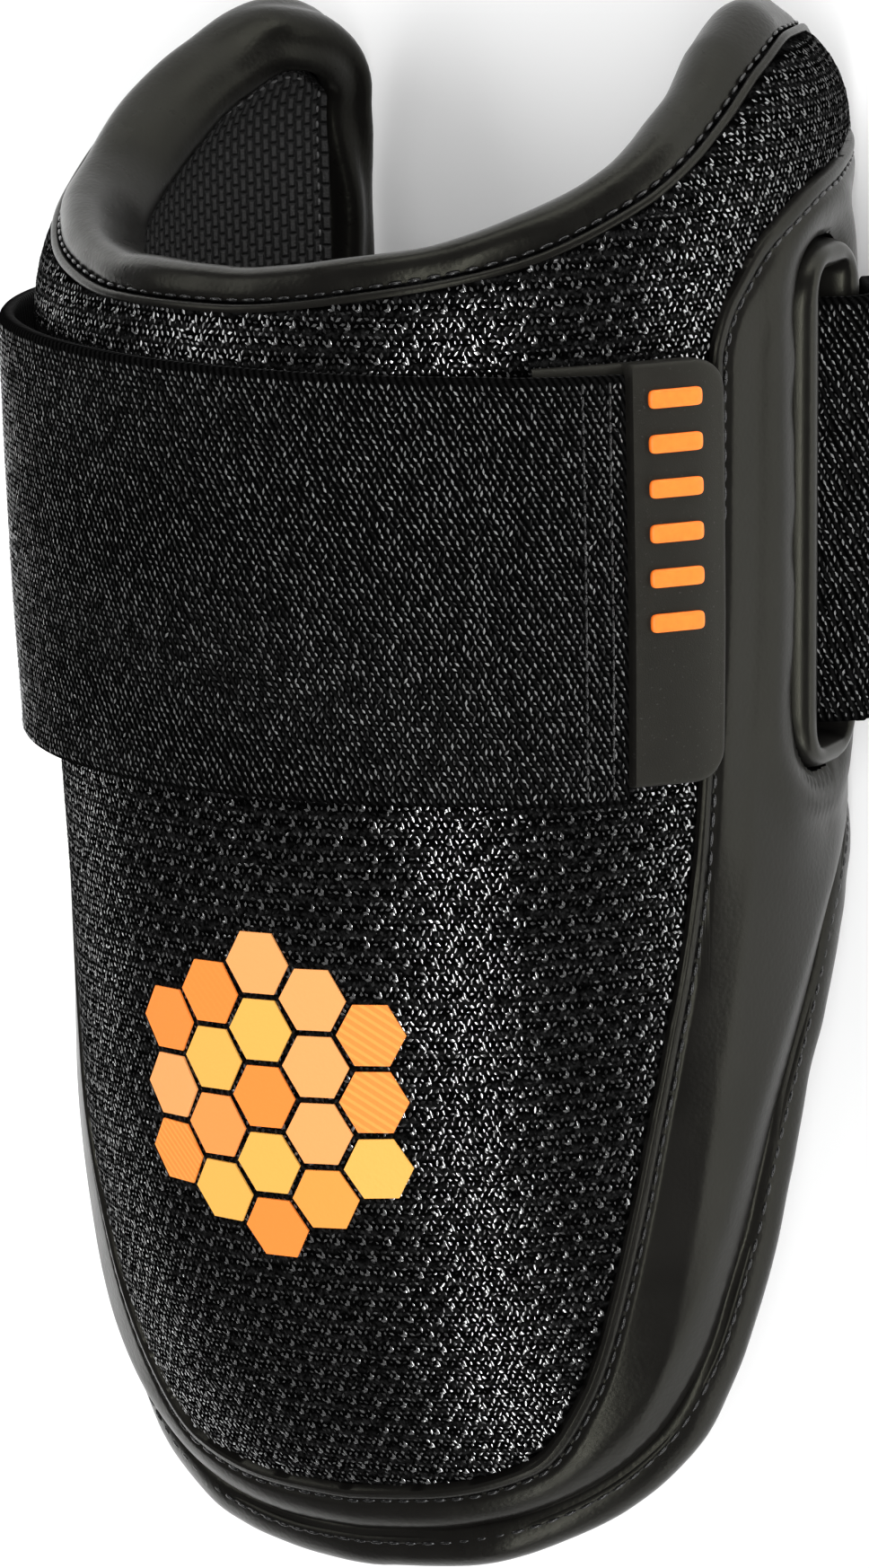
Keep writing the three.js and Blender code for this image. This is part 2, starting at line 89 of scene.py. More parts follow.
class Wire:
    """A socket of a node tree that takes part in Python sums"""

    def __init__(self, tree, socket=None):
        self.tree = tree
        self.socket = socket

    def feed(self, inputs, values):
        """Links the values that are wires, and sets the others"""
        for key, value in values.items():
            if isinstance(value, Wire):
                self.tree.links.new(value.socket, inputs[key])
            else:
                inputs[key].default_value = value

    def node(self, kind, settings=None, sockets=None, out=0):
        made = self.tree.nodes.new("ShaderNode" + kind)
        for key, value in (settings or {}).items():
            setattr(made, key, value)
        self.feed(made.inputs, sockets or {})
        return Wire(self.tree, made.outputs[out])

    def math(self, operation, *values):
        return self.node("Math", {"operation": operation}, dict(enumerate((self, *values))))

    def __add__(self, other):
        return self.math("ADD", other)

    def __sub__(self, other):
        return self.math("SUBTRACT", other)

    def __rsub__(self, other):
        return self.node("Math", {"operation": "SUBTRACT"}, {0: other, 1: self})

    def __mul__(self, other):
        return self.math("MULTIPLY", other)

    def __truediv__(self, other):
        return self.math("DIVIDE", other)

    def __pow__(self, other):
        return self.math("POWER", other)

    __radd__ = __add__
    __rmul__ = __mul__

    def wave(self):
        """1 at whole numbers, 0 half way between them"""
        return (self * (2 * math.pi)).math("COSINE") * 0.5 + 0.5

    def ramp(self, low, high):
        return self.node("MapRange", {"interpolation_type": "SMOOTHSTEP"},
                         {"Value": self, "From Min": low, "From Max": high})

    def blend(self, dark, light):
        """The wire's value mixes two colours"""
        return self.node("Mix", {"data_type": "RGBA"}, {0: self, 6: dark, 7: light}, 2)


for name, place, aim, width, height, spread, watts in LIGHTS:
    lamp = bpy.data.lights.new(name, "AREA")
    lamp.shape = "RECTANGLE"
    lamp.size, lamp.size_y = width, height
    lamp.spread = math.radians(spread)
    lamp.energy = watts
    away = (Vector(place) - Vector(aim)).normalized()
    along_lamp = back if abs(view_up.dot(away)) > 0.9 else view_up
    lamp_up = (along_lamp - along_lamp.dot(away) * away).normalized()
    holder = bpy.data.objects.new(name, lamp)
    holder.matrix_world = look_along(Vector(place), lamp_up.cross(away), lamp_up, away)
    bpy.context.collection.objects.link(holder)

surround = bpy.data.worlds.new("surround")
surround.use_nodes = True
surround_wire = Wire(surround.node_tree)
in_gloss = surround_wire.node("LightPath", out="Is Glossy Ray")
surround_wire.feed(surround.node_tree.nodes["Background"].inputs, {
    "Color": (1, 1, 1, 1), "Strength": SURROUND + in_gloss * (SURROUND_IN_GLOSS - SURROUND)})
bpy.context.scene.world = surround
bpy.context.scene.view_settings.view_transform = "Standard"


# Floor: a plain pale sheet of matte card that the guard lies on. It is wide enough to fill the view,
# and it is not part of the guard.
FLOOR_HALF = 6
FLOOR_CORNERS = ((-1, -1), (1, -1), (1, 1), (-1, 1))


class Finish:
    """A material: patterns made by nodes, and the settings of its one surface shader"""

    def __init__(self, name):
        self.material = bpy.data.materials.new(name)
        self.material.use_nodes = True
        self.wire = Wire(self.material.node_tree)
        self.shader = self.material.node_tree.nodes["Principled BSDF"]

    def place(self):
        return self.wire.node("TexCoord", out="Object")

    def held(self, label, out="Fac"):
        """What each point of the mesh keeps under a label"""
        return self.wire.node("Attribute", {"attribute_name": label}, out=out)

    def laid(self):
        """Millimetres across the cloth and along it, and a third value of its own"""
        parts = self.wire.node("SeparateXYZ", None, {0: self.held("lay", "Vector")})
        return [Wire(self.wire.tree, part) for part in parts.socket.node.outputs]

    def noise(self, scale, detail=2.0):
        return self.wire.node("TexNoise", None, {"Vector": self.place(), "Scale": scale, "Detail": detail})

    def set(self, base_color, roughness, specular=0.5, sheen=(1, 1, 1, 1), coat=0.0, coat_roughness=0.3,
            coat_ior=1.5):
        self.wire.feed(self.shader.inputs, {
            "Base Color": base_color, "Roughness": roughness, "Specular IOR Level": specular,
            "Specular Tint": sheen, "Coat Weight": coat, "Coat Roughness": coat_roughness,
            "Coat IOR": coat_ior})

    def bump(self, height, depth, strength=1.0):
        normal = self.wire.node("Bump", None, {"Strength": strength, "Distance": depth, "Height": height})
        self.wire.feed(self.shader.inputs, {"Normal": normal})


def grey(level, warmth=0.0):
    return (level * (1 + warmth), level, level * (1 - warmth), 1)


floor_finish = Finish("pale_floor")
floor_finish.set(base_color=floor_finish.noise(9).blend(grey(0.92), grey(0.94)), roughness=0.85)
floor_mesh = bpy.data.meshes.new("floor")
floor_mesh.from_pydata([(FLOOR_HALF * x, FLOOR_HALF * y, 0) for x, y in FLOOR_CORNERS], [], [(0, 1, 2, 3)])
floor_mesh.materials.append(floor_finish.material)
floor = bpy.data.objects.new("floor", floor_mesh)
bpy.context.collection.objects.link(floor)


# Knit front: a shiny ribbed nylon knit over the foam shell, from the seam with the leather up to the rim.
# Its face follows round sections of the arm, set further back towards the hand end. Angles are degrees
# round the arm from the front, plus towards the slot ring, and stations millimetres along the arm.
MIDDLE = np.array([-0.7, 115.7, -48.2])
STATIONS = np.linspace(-8, 240, 1000)
SECTIONS = [
    # station, radius, setback, aside
    (-8, 54.5, 34, -3), (0, 55, 30, -2.6), (11, 55.3, 23.8, -2.1), (25, 55.6, 15.3, -1.3),
    (47, 56, 6.2, -0.4), (74, 56.3, 0.6, 0), (100, 57, 0, 0), (122, 58, 0, 0), (150, 59.3, 0, 0),
    (190, 60, 0, 0), (240, 60, 0, 0),
]
RIM = [
    # angle, station, lean, roll
    (-130, 221, 4.5, 7.5), (-120, 221, 5, 7.5), (-105, 217, 5, 7), (-88, 209, 4.5, 6.5),
    (-75, 203.2, 4.2, 6.2), (-60, 199, 4, 6), (-42, 195.6, 3.5, 6), (-26, 193.8, 3, 6),
    (-5, 193.6, 3, 6), (23, 196.6, 3, 6), (39, 199.5, 3, 6.3), (60, 207, 4, 7), (69, 211.5, 5, 7.6),
    (78, 216.5, 6.5, 8.4), (90, 223, 7.5, 9), (104, 226.5, 8, 9), (117, 226, 7.5, 8.5), (130, 221, 6, 7.5),
]
LOWER = [
    # angle, station
    (0, 7.2), (12, 7.8), (24, 9.8), (36, 13.8), (50, 21.8), (62, 34), (73, 51.5), (85, 72.5),
    (95, 88), (103, 98.5), (115, 106.5), (130, 111.5),
]
KNIT_SEAM = [
    # angle, right, left
    (0, 15, 15), (15, 16, 16), (30, 20, 20), (41, 31.5, 31.5), (53.6, 59, 59), (61, 83, 83),
    (66.6, 110, 110), (68.4, 140, 140), (69.6, 184, 176), (75, 194, 184), (82, 200.5, 190),
    (95, 206, 198), (120, 209, 206), (134, 210, 207),
]
WALL = 12
LINING = 1.9
REAR_ANGLE = 130
REAR_CORNER = 9
ARM_RADIUS = 59.3
LEAN_REACH = 18
SEAM_GAP = 0.18
KNIT_COLUMNS, KNIT_ROWS = 241, 110
KNIT_TUCK, KNIT_TUCK_REACH = 0.7, 2.2
PANEL_DEPTH = WALL - LINING - 0.5
RIB_PITCH = 2.5


def curve(keys, values, slopes, at):
    """Smooth curve through values at keys, with given slopes there"""
    row = np.clip(np.searchsorted(keys, at) - 1, 0, len(keys) - 2)
    span = keys[row + 1] - keys[row]
    t = (at - keys[row]) / span
    share = t * t * (3 - 2 * t)
    level = values[row] * (1 - share) + values[row + 1] * share
    return level + span * t * (slopes[row] * (1 - t) ** 2 - slopes[row + 1] * t * (1 - t))


def look_up(table, column, at):
    """Smooth value from a table's column, with no overshoot between its rows"""
    keys, values = (np.array([row[k] for row in table], float) for k in (0, column))
    rise = np.diff(values) / np.diff(keys)
    before, after = rise[:-1], rise[1:]
    same_way = before * after > 0
    inner = np.where(same_way, 2 * before * after / np.where(same_way, before + after, 1), 0)
    return curve(keys, values, np.concatenate([rise[:1], inner, rise[-1:]]), np.clip(at, keys[0], keys[-1]))


def smooth(value, low, high):
    t = np.clip((np.asarray(value, float) - low) / (high - low), 0, 1)
    return t * t * (3 - 2 * t)


def rounding(arc, radius):
    """How far a round corner draws back at a length of arc from its end"""
    into = np.clip(1 - arc / radius, 0, 1)
    return radius * (1 - np.sqrt(1 - into * into))


def corner_rise(angle):
    return rounding(np.radians(REAR_ANGLE - np.abs(angle)) * (ARM_RADIUS - WALL / 2), REAR_CORNER)


def rim_station(angle):
    return look_up(RIM, 1, angle) - corner_rise(angle)


def lower_station(angle):
    return look_up(LOWER, 1, np.abs(angle)) + corner_rise(angle)


def knit_seam(angle):
    size = np.abs(angle)
    return np.where(np.asarray(angle) < 0, look_up(KNIT_SEAM, 2, size), look_up(KNIT_SEAM, 1, size))


def wall_radius(angle, station):
    below = look_up(RIM, 1, angle) - station
    near = np.clip(1 - below / LEAN_REACH, 0, 1.2)
    return look_up(SECTIONS, 1, station) - look_up(RIM, 2, angle) * near ** 3


def outer_point(angle, station, lift=0.0):
    """Points of the guard's outer face in millimetres, lifted along the arm's radius"""
    angle, station = np.broadcast_arrays(np.asarray(angle, float), np.asarray(station, float))
    reach = wall_radius(angle, station) + lift
    across = look_up(SECTIONS, 3, station) + reach * np.sin(np.radians(angle))
    height = reach * np.cos(np.radians(angle)) - look_up(SECTIONS, 2, station)
    return np.stack([across, station, height], -1)


def unit(vectors):
    return vectors / np.linalg.norm(vectors, axis=-1, keepdims=True)


def run_of(angle, station, step=0.5):
    """Way along the arm on the outer face"""
    return outer_point(angle, station + step) - outer_point(angle, station - step)


def outer_normal(angle, station, step=0.05):
    across = outer_point(angle + step, station) - outer_point(angle - step, station)
    return unit(np.cross(across, run_of(angle, station, step)))


def wall_point(angle, station, depth):
    """Points under the outer face, measured square to it"""
    return outer_point(angle, station) - outer_normal(angle, station) * np.asarray(depth)[..., None]


def run_length(points, power=1.0):
    """Length along a line of points up to each of them"""
    return np.concatenate([[0], np.cumsum(np.linalg.norm(np.diff(points, axis=0), axis=1) ** power)])


front_rise = np.gradient(look_up(SECTIONS, 2, STATIONS), STATIONS)
cloth_step = np.hypot(1, (front_rise[1:] + front_rise[:-1]) / 2) * np.diff(STATIONS)
cloth_length = np.concatenate([[0], np.cumsum(cloth_step)])


def along_arm(station):
    """Length of cloth along the front up to a station"""
    return np.interp(station, STATIONS, cloth_length)


def cloth_place(angle, station):
    return np.stack([np.radians(angle) * ARM_RADIUS, along_arm(station)], -1)


def even_angles(edge, count, limit=REAR_ANGLE):
    """Angles spaced evenly along an edge of the wall"""
    fine = np.linspace(-limit, limit, 6000)
    length = run_length(cloth_place(fine, edge(fine)))
    return np.interp(np.linspace(0, length[-1], count), length, fine)


def wall_grid(angle, low, high, share):
    """Angles and stations of a grid between two edges of the wall"""
    station = low + (high - low) * share[:, None]
    return np.broadcast_to(angle, station.shape), station


def distance_to_edge(places, edge):
    """Distance over the cloth from each place to an edge of the wall"""
    angles = even_angles(edge, 2400)
    tree = kdtree.KDTree(len(angles))
    for k, point in enumerate(cloth_place(angles, edge(angles))):
        tree.insert((*point, 0), k)
    tree.balance()
    found = [tree.find((*place, 0))[2] for place in places.reshape(-1, 2)]
    return np.array(found).reshape(places.shape[:-1])


def hold(mesh, label, values):
    """Keeps a number or a vector for each point of a mesh"""
    values = np.ascontiguousarray(values, np.float32)
    kind, field = ("FLOAT", "value") if values.ndim == 1 else ("FLOAT_VECTOR", "vector")
    mesh.attributes.new(label, kind, "POINT").data.foreach_set(field, values.ravel())


def new_piece(name, points, faces=(), finish=None, lay=None, sharp=50, edges=()):
    """A mesh object from points in millimetres of the guard's own axes"""
    mesh = bpy.data.meshes.new(name)
    placed = (np.reshape(points, (-1, 3)) - MIDDLE) / 1000
    mesh.from_pydata(placed.tolist(), edges, faces)
    mesh.shade_smooth()
    if sharp:
        mesh.set_sharp_from_angle(angle=math.radians(sharp))
    if lay is not None:
        hold(mesh, "lay", lay)
    if finish:
        mesh.materials.append(finish.material)
    piece = bpy.data.objects.new(name, mesh)
    bpy.context.collection.objects.link(piece)
    return piece


def slab_faces(rows, columns):
    """Faces of a closed slab: a grid of points above, the same grid below, and the four edges"""
    grid = np.arange(rows * columns).reshape(rows, columns)
    under = grid + rows * columns

    def quads(*corners):
        return np.stack([corner.ravel() for corner in corners], -1).tolist()

    faces = quads(grid[:-1, :-1], grid[:-1, 1:], grid[1:, 1:], grid[1:, :-1])
    faces += quads(under[:-1, :-1], under[1:, :-1], under[1:, 1:], under[:-1, 1:])
    faces += quads(grid[:-1, 0], grid[1:, 0], under[1:, 0], under[:-1, 0])
    faces += quads(grid[1:, -1], grid[:-1, -1], under[:-1, -1], under[1:, -1])
    faces += quads(grid[0, 1:], grid[0, :-1], under[0, :-1], under[0, 1:])
    faces += quads(grid[-1, :-1], grid[-1, 1:], under[-1, 1:], under[-1, :-1])
    return faces


def dress(piece, solid=None):
    """The piece rides on the one body and may stand for a solid, which it hides"""
    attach(piece, "root")
    if solid:
        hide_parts(solid)


knit_finish = Finish("ribbed_knit")
_, along, _ = knit_finish.laid()
rib = (along / RIB_PITCH).wave()
ground = knit_finish.noise(1500)
# The colour is darker in the rib valleys that the bump lowers: painted shade, over a random tone.
knit_tone_and_rib_shade = (rib * ground.ramp(0.3, 0.8)).blend(grey(0.0005), grey(0.01))
knit_finish.set(base_color=knit_tone_and_rib_shade, roughness=0.7, specular=0.0)
knit_finish.bump(rib + ground * 0.6, 0.0004)

knit_angle = even_angles(knit_seam, KNIT_COLUMNS)
knit_grid = wall_grid(knit_angle, knit_seam(knit_angle) + SEAM_GAP, rim_station(knit_angle),
                      np.linspace(0, 1, KNIT_ROWS))
knit_place = cloth_place(*knit_grid)
knit_edge = np.minimum(distance_to_edge(knit_place, knit_seam), distance_to_edge(knit_place, rim_station))
knit_depth = KNIT_TUCK * (1 - smooth(knit_edge, 0, KNIT_TUCK_REACH))
knit_points = np.stack([wall_point(*knit_grid, knit_depth), wall_point(*knit_grid, PANEL_DEPTH)])
knit_lay = np.insert(knit_place, 2, knit_edge, -1)
knit_front = new_piece("knit_front", knit_points, slab_faces(KNIT_ROWS, KNIT_COLUMNS), knit_finish,
                       np.stack([knit_lay, knit_lay]))
dress(knit_front, "front_panel")


# Knit loops: shiny nylon yarn that stands out of the ribs as small slanted loops, with a bolder hooked
# loop at every fourth one. The strap hides the stretch of cloth that has none.
# Their colour carries a painted glint, with painted shade in the rib valleys and towards both sides.
LOOP_COLUMN, LOOP_ROW = 1.05, RIB_PITCH / 3
LOOP_STATIONS = (10.0, 230.0)
LOOP_JITTER = 0.13
LOOP_SIZE, LOOP_SIZE_SPREAD = (0.85, 0.44, 0.04), (0.65, 1.25)
LOOP_LEAN, LOOP_LEAN_SPREAD, LOOP_TILT = 0.25, 0.7, 0.07
LOOP_MARGIN, REAR_MARGIN, RIM_MARGIN = 0.9, 1.5, 2
BOLD_SIZE, BOLD_LEAN = (1.3, 0.5, 0.09), 0.3
HOOK_SIZE, HOOK_LEAN = (0.85, 0.5, 0.09), 1.35
HOOK_OFFSET = (-0.35, -0.42)
GLINT_POWER, BOLD_GLINT = 0.5, 0.9
VALLEY_SHADE_AND_DULL = 0.47
RIGHT_FULL, RIGHT_FALL = 1.9, 70.0
LEFT_FULL, LEFT_FALL = 1.75, 38.0
WING_LEAST = 0.15
STRAP_COVERS = (128, 180)
YARN_BODY = {"Vertices": 4, "Radius Top": 0.0, "Radius Bottom": 1.0, "Depth": 1.0}
YARN_HALF = np.array([0.5, 0.5, 1])


def bake(piece):
    """Makes the piece's modifiers part of its mesh"""
    graph = bpy.context.evaluated_depsgraph_get()
    made = bpy.data.meshes.new_from_object(piece.evaluated_get(graph), depsgraph=graph)
    piece.modifiers.clear()
    piece.data = made


class Tree:
    """A geometry tree with named inputs; nodes are made by type, settings and sockets"""

    def __init__(self, name, **inputs):
        self.group = bpy.data.node_groups.new(name, "GeometryNodeTree")
        face = self.group.interface
        self.sockets = {
            label: face.new_socket(label, in_out="INPUT", socket_type="NodeSocket" + kind)
            for label, kind in {"Geometry": "Geometry", **inputs}.items()}
        face.new_socket("Geometry", in_out="OUTPUT", socket_type="NodeSocketGeometry")
        self.inputs = self.group.nodes.new("NodeGroupInput").outputs

    def node(self, kind, settings=None, sockets=None, out=0):
        made = self.group.nodes.new(kind)
        for key, value in (settings or {}).items():
            setattr(made, key, value)
        for key, value in (sockets or {}).items():
            if isinstance(value, bpy.types.NodeSocket):
                self.group.links.new(value, made.inputs[key])
            else:
                made.inputs[key].default_value = value
        return made.outputs[out]

    def end(self, geometry):
        whole = self.node("GeometryNodeRealizeInstances", None, {0: geometry})
        painted = self.node("GeometryNodeSetMaterial", None,
                            {"Geometry": whole, "Material": self.inputs["Finish"]})
        last = self.group.nodes.new("NodeGroupOutput")
        self.group.links.new(painted, last.inputs[0])

    def apply(self, piece, finish, **values):
        modifier = piece.modifiers.new(self.group.name, "NODES")
        modifier.node_group = self.group
        for label, value in {"Finish": finish.material, **values}.items():
            modifier[self.sockets[label].identifier] = value
        bake(piece)
        piece.data.shade_smooth()


def scatter_tree(name, body, settings, rounds=0):
    """A tree that lays a small body on each point, turned and sized by the points' own attributes"""
    tree = Tree(name, Finish="Material")
    shape = tree.node(body, None, settings)
    if rounds:
        shape = tree.node("GeometryNodeSubdivisionSurface", None, {"Mesh": shape, "Level": rounds})
    facing, along, size = (tree.node("GeometryNodeInputNamedAttribute", {"data_type": "FLOAT_VECTOR"},
                                     {"Name": label}) for label in ("facing", "along", "size"))
    flat_on = tree.node("FunctionNodeAlignRotationToVector", {"axis": "Z"}, {"Vector": facing})
    turned = tree.node("FunctionNodeAlignRotationToVector", {"axis": "X", "pivot_axis": "Z"},
                       {"Rotation": flat_on, "Vector": along})
    dots = tree.node("GeometryNodeMeshToPoints", None, {0: tree.inputs["Geometry"]})
    tree.end(tree.node("GeometryNodeInstanceOnPoints", None,
                       {"Points": dots, "Instance": shape, "Rotation": turned, "Scale": size}))
    return tree


def scatter(tree, name, places, facing, along, size, finish, slot, sharp=75, **attributes):
    """Lays a tree's bodies at places in millimetres"""
    piece = new_piece(name, places, sharp=0)
    sizes = np.broadcast_to(np.asarray(size) / 1000, places.shape)
    for label, values in {"facing": facing, "along": along, "size": sizes, **attributes}.items():
        hold(piece.data, label, values)
    tree.apply(piece, finish)
    piece.data.set_sharp_from_angle(angle=math.radians(sharp))
    dress(piece)


# Each loop's glint value lightens its colour as a painted glint, and also sets the weight of its coat.
nylon = Finish("shiny_nylon")
glint = nylon.held("glint")
nylon.set(base_color=(glint ** 2.5).blend(grey(0.001), grey(0.085)), roughness=0.35, specular=0.0,
          coat=glint, coat_roughness=0.17, coat_ior=3.0)

draw = np.random.default_rng(11)
columns = np.arange(-REAR_ANGLE, REAR_ANGLE, math.degrees(LOOP_COLUMN / ARM_RADIUS))
rows = np.arange(*along_arm(LOOP_STATIONS), LOOP_ROW)
row, column = (grid.ravel() for grid in np.meshgrid(np.arange(len(rows)), np.arange(len(columns))))
loop_across = np.radians(columns[column]) * ARM_RADIUS + (row % 2) * LOOP_COLUMN / 2
loop_place = np.stack([loop_across, rows[row]], -1)
loop_place += draw.uniform(-LOOP_JITTER, LOOP_JITTER, loop_place.shape)
bold = (row % 3 == 1) & ((column + row // 3 % 2 * 2) % 4 == 0)


def wall_place(places):
    """Angles and stations of places on the cloth"""
    return np.degrees(places[:, 0] / ARM_RADIUS), np.interp(places[:, 1], cloth_length, STATIONS)


loop_angle, loop_station = wall_place(loop_place)
shown = (loop_station < STRAP_COVERS[0]) | (loop_station > STRAP_COVERS[1])
shown &= (np.abs(loop_angle) < REAR_ANGLE - REAR_MARGIN) & (loop_station > knit_seam(loop_angle))
shown &= loop_station < rim_station(loop_angle) - RIM_MARGIN
shown[shown] &= distance_to_edge(loop_place[shown], knit_seam) > LOOP_MARGIN
loop_place, bold, valley = loop_place[shown], bold[shown], row[shown] % 3 == 0
hook_place = loop_place[bold] + HOOK_OFFSET
loop_place = np.concatenate([loop_place, hook_place])
loop_angle, loop_station = wall_place(loop_place)
loop_normal = outer_normal(loop_angle, loop_station)
loop_run = unit(run_of(loop_angle, loop_station))
loop_side = np.cross(loop_run, loop_normal)
count, hooks = len(loop_place), len(hook_place)
lean = draw.normal(LOOP_LEAN, LOOP_LEAN_SPREAD, count)
lean[:-hooks][bold], lean[-hooks:] = BOLD_LEAN, HOOK_LEAN
loop_direction = np.cos(lean)[:, None] * loop_run - np.sin(lean)[:, None] * loop_side
tilts = draw.normal(0, LOOP_TILT, (2, count, 1))
loop_facing = unit(loop_normal + tilts[0] * loop_run + tilts[1] * loop_side)
loop_size = LOOP_SIZE * draw.uniform(*LOOP_SIZE_SPREAD, (count, 1))
loop_size[:-hooks][bold], loop_size[-hooks:] = BOLD_SIZE, HOOK_SIZE
loop_glint = draw.uniform(0, 1, count) ** GLINT_POWER
# Loops in the rib valleys get less glint: painted shade in their colour, and a weaker coat.
loop_glint[:-hooks][valley] *= VALLEY_SHADE_AND_DULL
loop_glint[:-hooks][bold] = loop_glint[-hooks:] = BOLD_GLINT
# Glint fades towards both sides by place round the arm, faster on the left: painted shade in the loops'
# colour, and a weaker coat.
right_shine, left_shine = RIGHT_FULL - loop_angle / RIGHT_FALL, LEFT_FULL + loop_angle / LEFT_FALL
loop_glint *= np.clip(np.where(loop_angle < 0, left_shine, right_shine), WING_LEAST, 1)
loop_tree = scatter_tree("yarn_loops", "GeometryNodeMeshCone", YARN_BODY)
scatter(loop_tree, "knit_loops", outer_point(loop_angle, loop_station), loop_facing, loop_direction,
        loop_size * YARN_HALF, nylon, "knit", glint=loop_glint)


# Leather border: smooth synthetic leather with a thin foam, turned under along the knit and sewn down,
# then swelling to the edge roll. It runs round the hand end and up both wings, and has the slot.
BORDER_COLUMNS, BORDER_ROWS = 421, 84
ROWS_TO_KNIT = 1.8
FOLD_RISE = 0.55
STITCH_IN = 2.4
FOLD_EDGE, FOLD_END = (-0.2, 0.7), (4, 9)
PUFF_LOW, PUFF_STRAP, PUFF_REACH = 1.9, 1.0, 8
TO_STRAP_STATIONS = (100, 122)
REAR_FLAT_ANGLES, REAR_FLAT_STATIONS = (84, 100), (100, 115)
HEM_GROOVE, HEM_GROOVE_WIDTH = 0.55, 0.6
ROLL_GROOVE, ROLL_GROOVE_WIDTH = 0.9, 1.2
SLOT_PILLOW, SLOT_PILLOW_WIDTH, SLOT_PILLOW_OUT = 0.9, 3.2, 5.5
SLOT_DIP, SLOT_DIP_WIDTH, SLOT_CLEAR = 1.1, 1.1, 0.5
SLOT_RIPPLES, RIPPLE_WIDTH = ((0.22, 3.1, 0), (0.15, 1.7, 1)), 2.5
RING_ANGLE, RING_STATION = 97.5, 158
RING_LENGTH, RING_WIDTH, RING_CORNER = 77.5, 22, 9.5
CUT_REACH = 30
WARM_SHEEN = (1.0, 1.0, 0.8, 1)


def leather_finish(name, level, shine):
    finish = Finish(name)
    mottle, pores, worn = finish.noise(60, 3), finish.noise(5200, 1), finish.noise(240, 4)
    cells = finish.wire.node("TexVoronoi", {"feature": "SMOOTH_F1"},
                             {"Vector": finish.place(), "Scale": 1500})
    tone = mottle.ramp(0.35, 0.7).blend(grey(level * 0.85, 0.07), grey(level * 1.15, 0.07))
    finish.set(base_color=tone, roughness=shine + worn * 0.12 + mottle * 0.06, specular=0.15,
               sheen=WARM_SHEEN)
    finish.bump(cells * 0.7 + pores * 0.3, 0.00012, 0.35)
    return finish


leather = leather_finish("border_leather", 0.006, 0.23)
slot_low, slot_high = (outer_point(RING_ANGLE, RING_STATION + end * RING_LENGTH / 2) for end in (-1, 1))
slot_middle = (slot_low + slot_high) / 2
slot_along = unit(slot_high - slot_low)
slot_across = np.array([math.cos(math.radians(RING_ANGLE)), 0, -math.sin(math.radians(RING_ANGLE))])
slot_out = unit(np.cross(slot_across, slot_along))


def slot_distance(points):
    """Distance outside the ring's outline, seen square to the slot, and place along it"""
    offset = points - slot_middle
    across = np.abs(offset @ slot_across) - (RING_WIDTH / 2 - RING_CORNER)
    along = np.abs(offset @ slot_along) - (RING_LENGTH / 2 - RING_CORNER)
    outside = np.hypot(np.maximum(across, 0), np.maximum(along, 0)) - RING_CORNER
    outside = outside + np.minimum(np.maximum(across, along), 0)
    return np.where(offset @ slot_out > -CUT_REACH, outside, np.inf), offset @ slot_along


def ridge(distance, width, centre=0.0):
    """A soft ridge along a line, by distance from it"""
    return np.exp(-((distance - centre) / width) ** 2)


border_angle = even_angles(lower_station, BORDER_COLUMNS)
border_high = np.minimum(knit_seam(border_angle), rim_station(border_angle)) - SEAM_GAP
border_grid = wall_grid(border_angle, lower_station(border_angle), border_high,
                        1 - np.linspace(1, 0, BORDER_ROWS) ** ROWS_TO_KNIT)
border_angles, border_station = border_grid
border_place = cloth_place(*border_grid)
to_knit = distance_to_edge(border_place, knit_seam)
to_roll = distance_to_edge(border_place, lower_station)
puff = PUFF_STRAP + (PUFF_LOW - PUFF_STRAP) * (1 - smooth(border_station, *TO_STRAP_STATIONS))
puff = puff * (1 - smooth(np.abs(border_angles), *REAR_FLAT_ANGLES)
               * smooth(border_station, *REAR_FLAT_STATIONS))
puff = puff * smooth(to_knit, STITCH_IN, STITCH_IN + PUFF_REACH) * smooth(to_roll, 0, PUFF_REACH)
fold = FOLD_RISE * smooth(to_knit, *FOLD_EDGE) * (1 - smooth(to_knit, *FOLD_END))
hem_groove = HEM_GROOVE * ridge(to_knit, HEM_GROOVE_WIDTH, STITCH_IN)
roll_groove = ROLL_GROOVE * ridge(to_roll, ROLL_GROOVE_WIDTH)
from_slot, slot_place = slot_distance(outer_point(*border_grid))
near_slot = np.clip(from_slot, 0, None)
ripple = sum(rise * np.sin(slot_place / length + start) for rise, length, start in SLOT_RIPPLES)
pillow = SLOT_PILLOW * ridge(near_slot, SLOT_PILLOW_WIDTH, SLOT_PILLOW_OUT)
pillow += ripple * ridge(near_slot, RIPPLE_WIDTH) - SLOT_DIP * ridge(near_slot, SLOT_DIP_WIDTH)
border_lift = puff + fold - hem_groove - roll_groove + pillow
border_points = np.stack([wall_point(*border_grid, -border_lift), wall_point(*border_grid, PANEL_DEPTH)])
leather_border = new_piece("leather_border", border_points, slab_faces(BORDER_ROWS, BORDER_COLUMNS), leather)


def oblong(width, length, corner, arc_points=16, side_points=0):
    """Outline of an oblong with round corners, one way round, with points along its straight sides"""
    arcs = []
    for side, end, turn in ((1, 1, 0), (-1, 1, 90), (-1, -1, 180), (1, -1, 270)):
        angle = np.radians(np.linspace(turn, turn + 90, arc_points))
        centre = np.array([side * (width / 2 - corner), end * (length / 2 - corner)])
        arcs.append(centre + corner * np.stack([np.cos(angle), np.sin(angle)], -1))
    outline = []
    for arc, after in zip(arcs, arcs[1:] + arcs[:1]):
        outline += [arc, np.linspace(arc[-1], after[0], side_points + 2)[1:-1]]
    return np.concatenate(outline)


def at_slot(flat, height):
    """Flat outline points raised off the wing at the slot"""
    height = np.broadcast_to(height, flat.shape[:-1])[..., None]
    return slot_middle + flat[..., :1] * slot_across + flat[..., 1:] * slot_along + height * slot_out


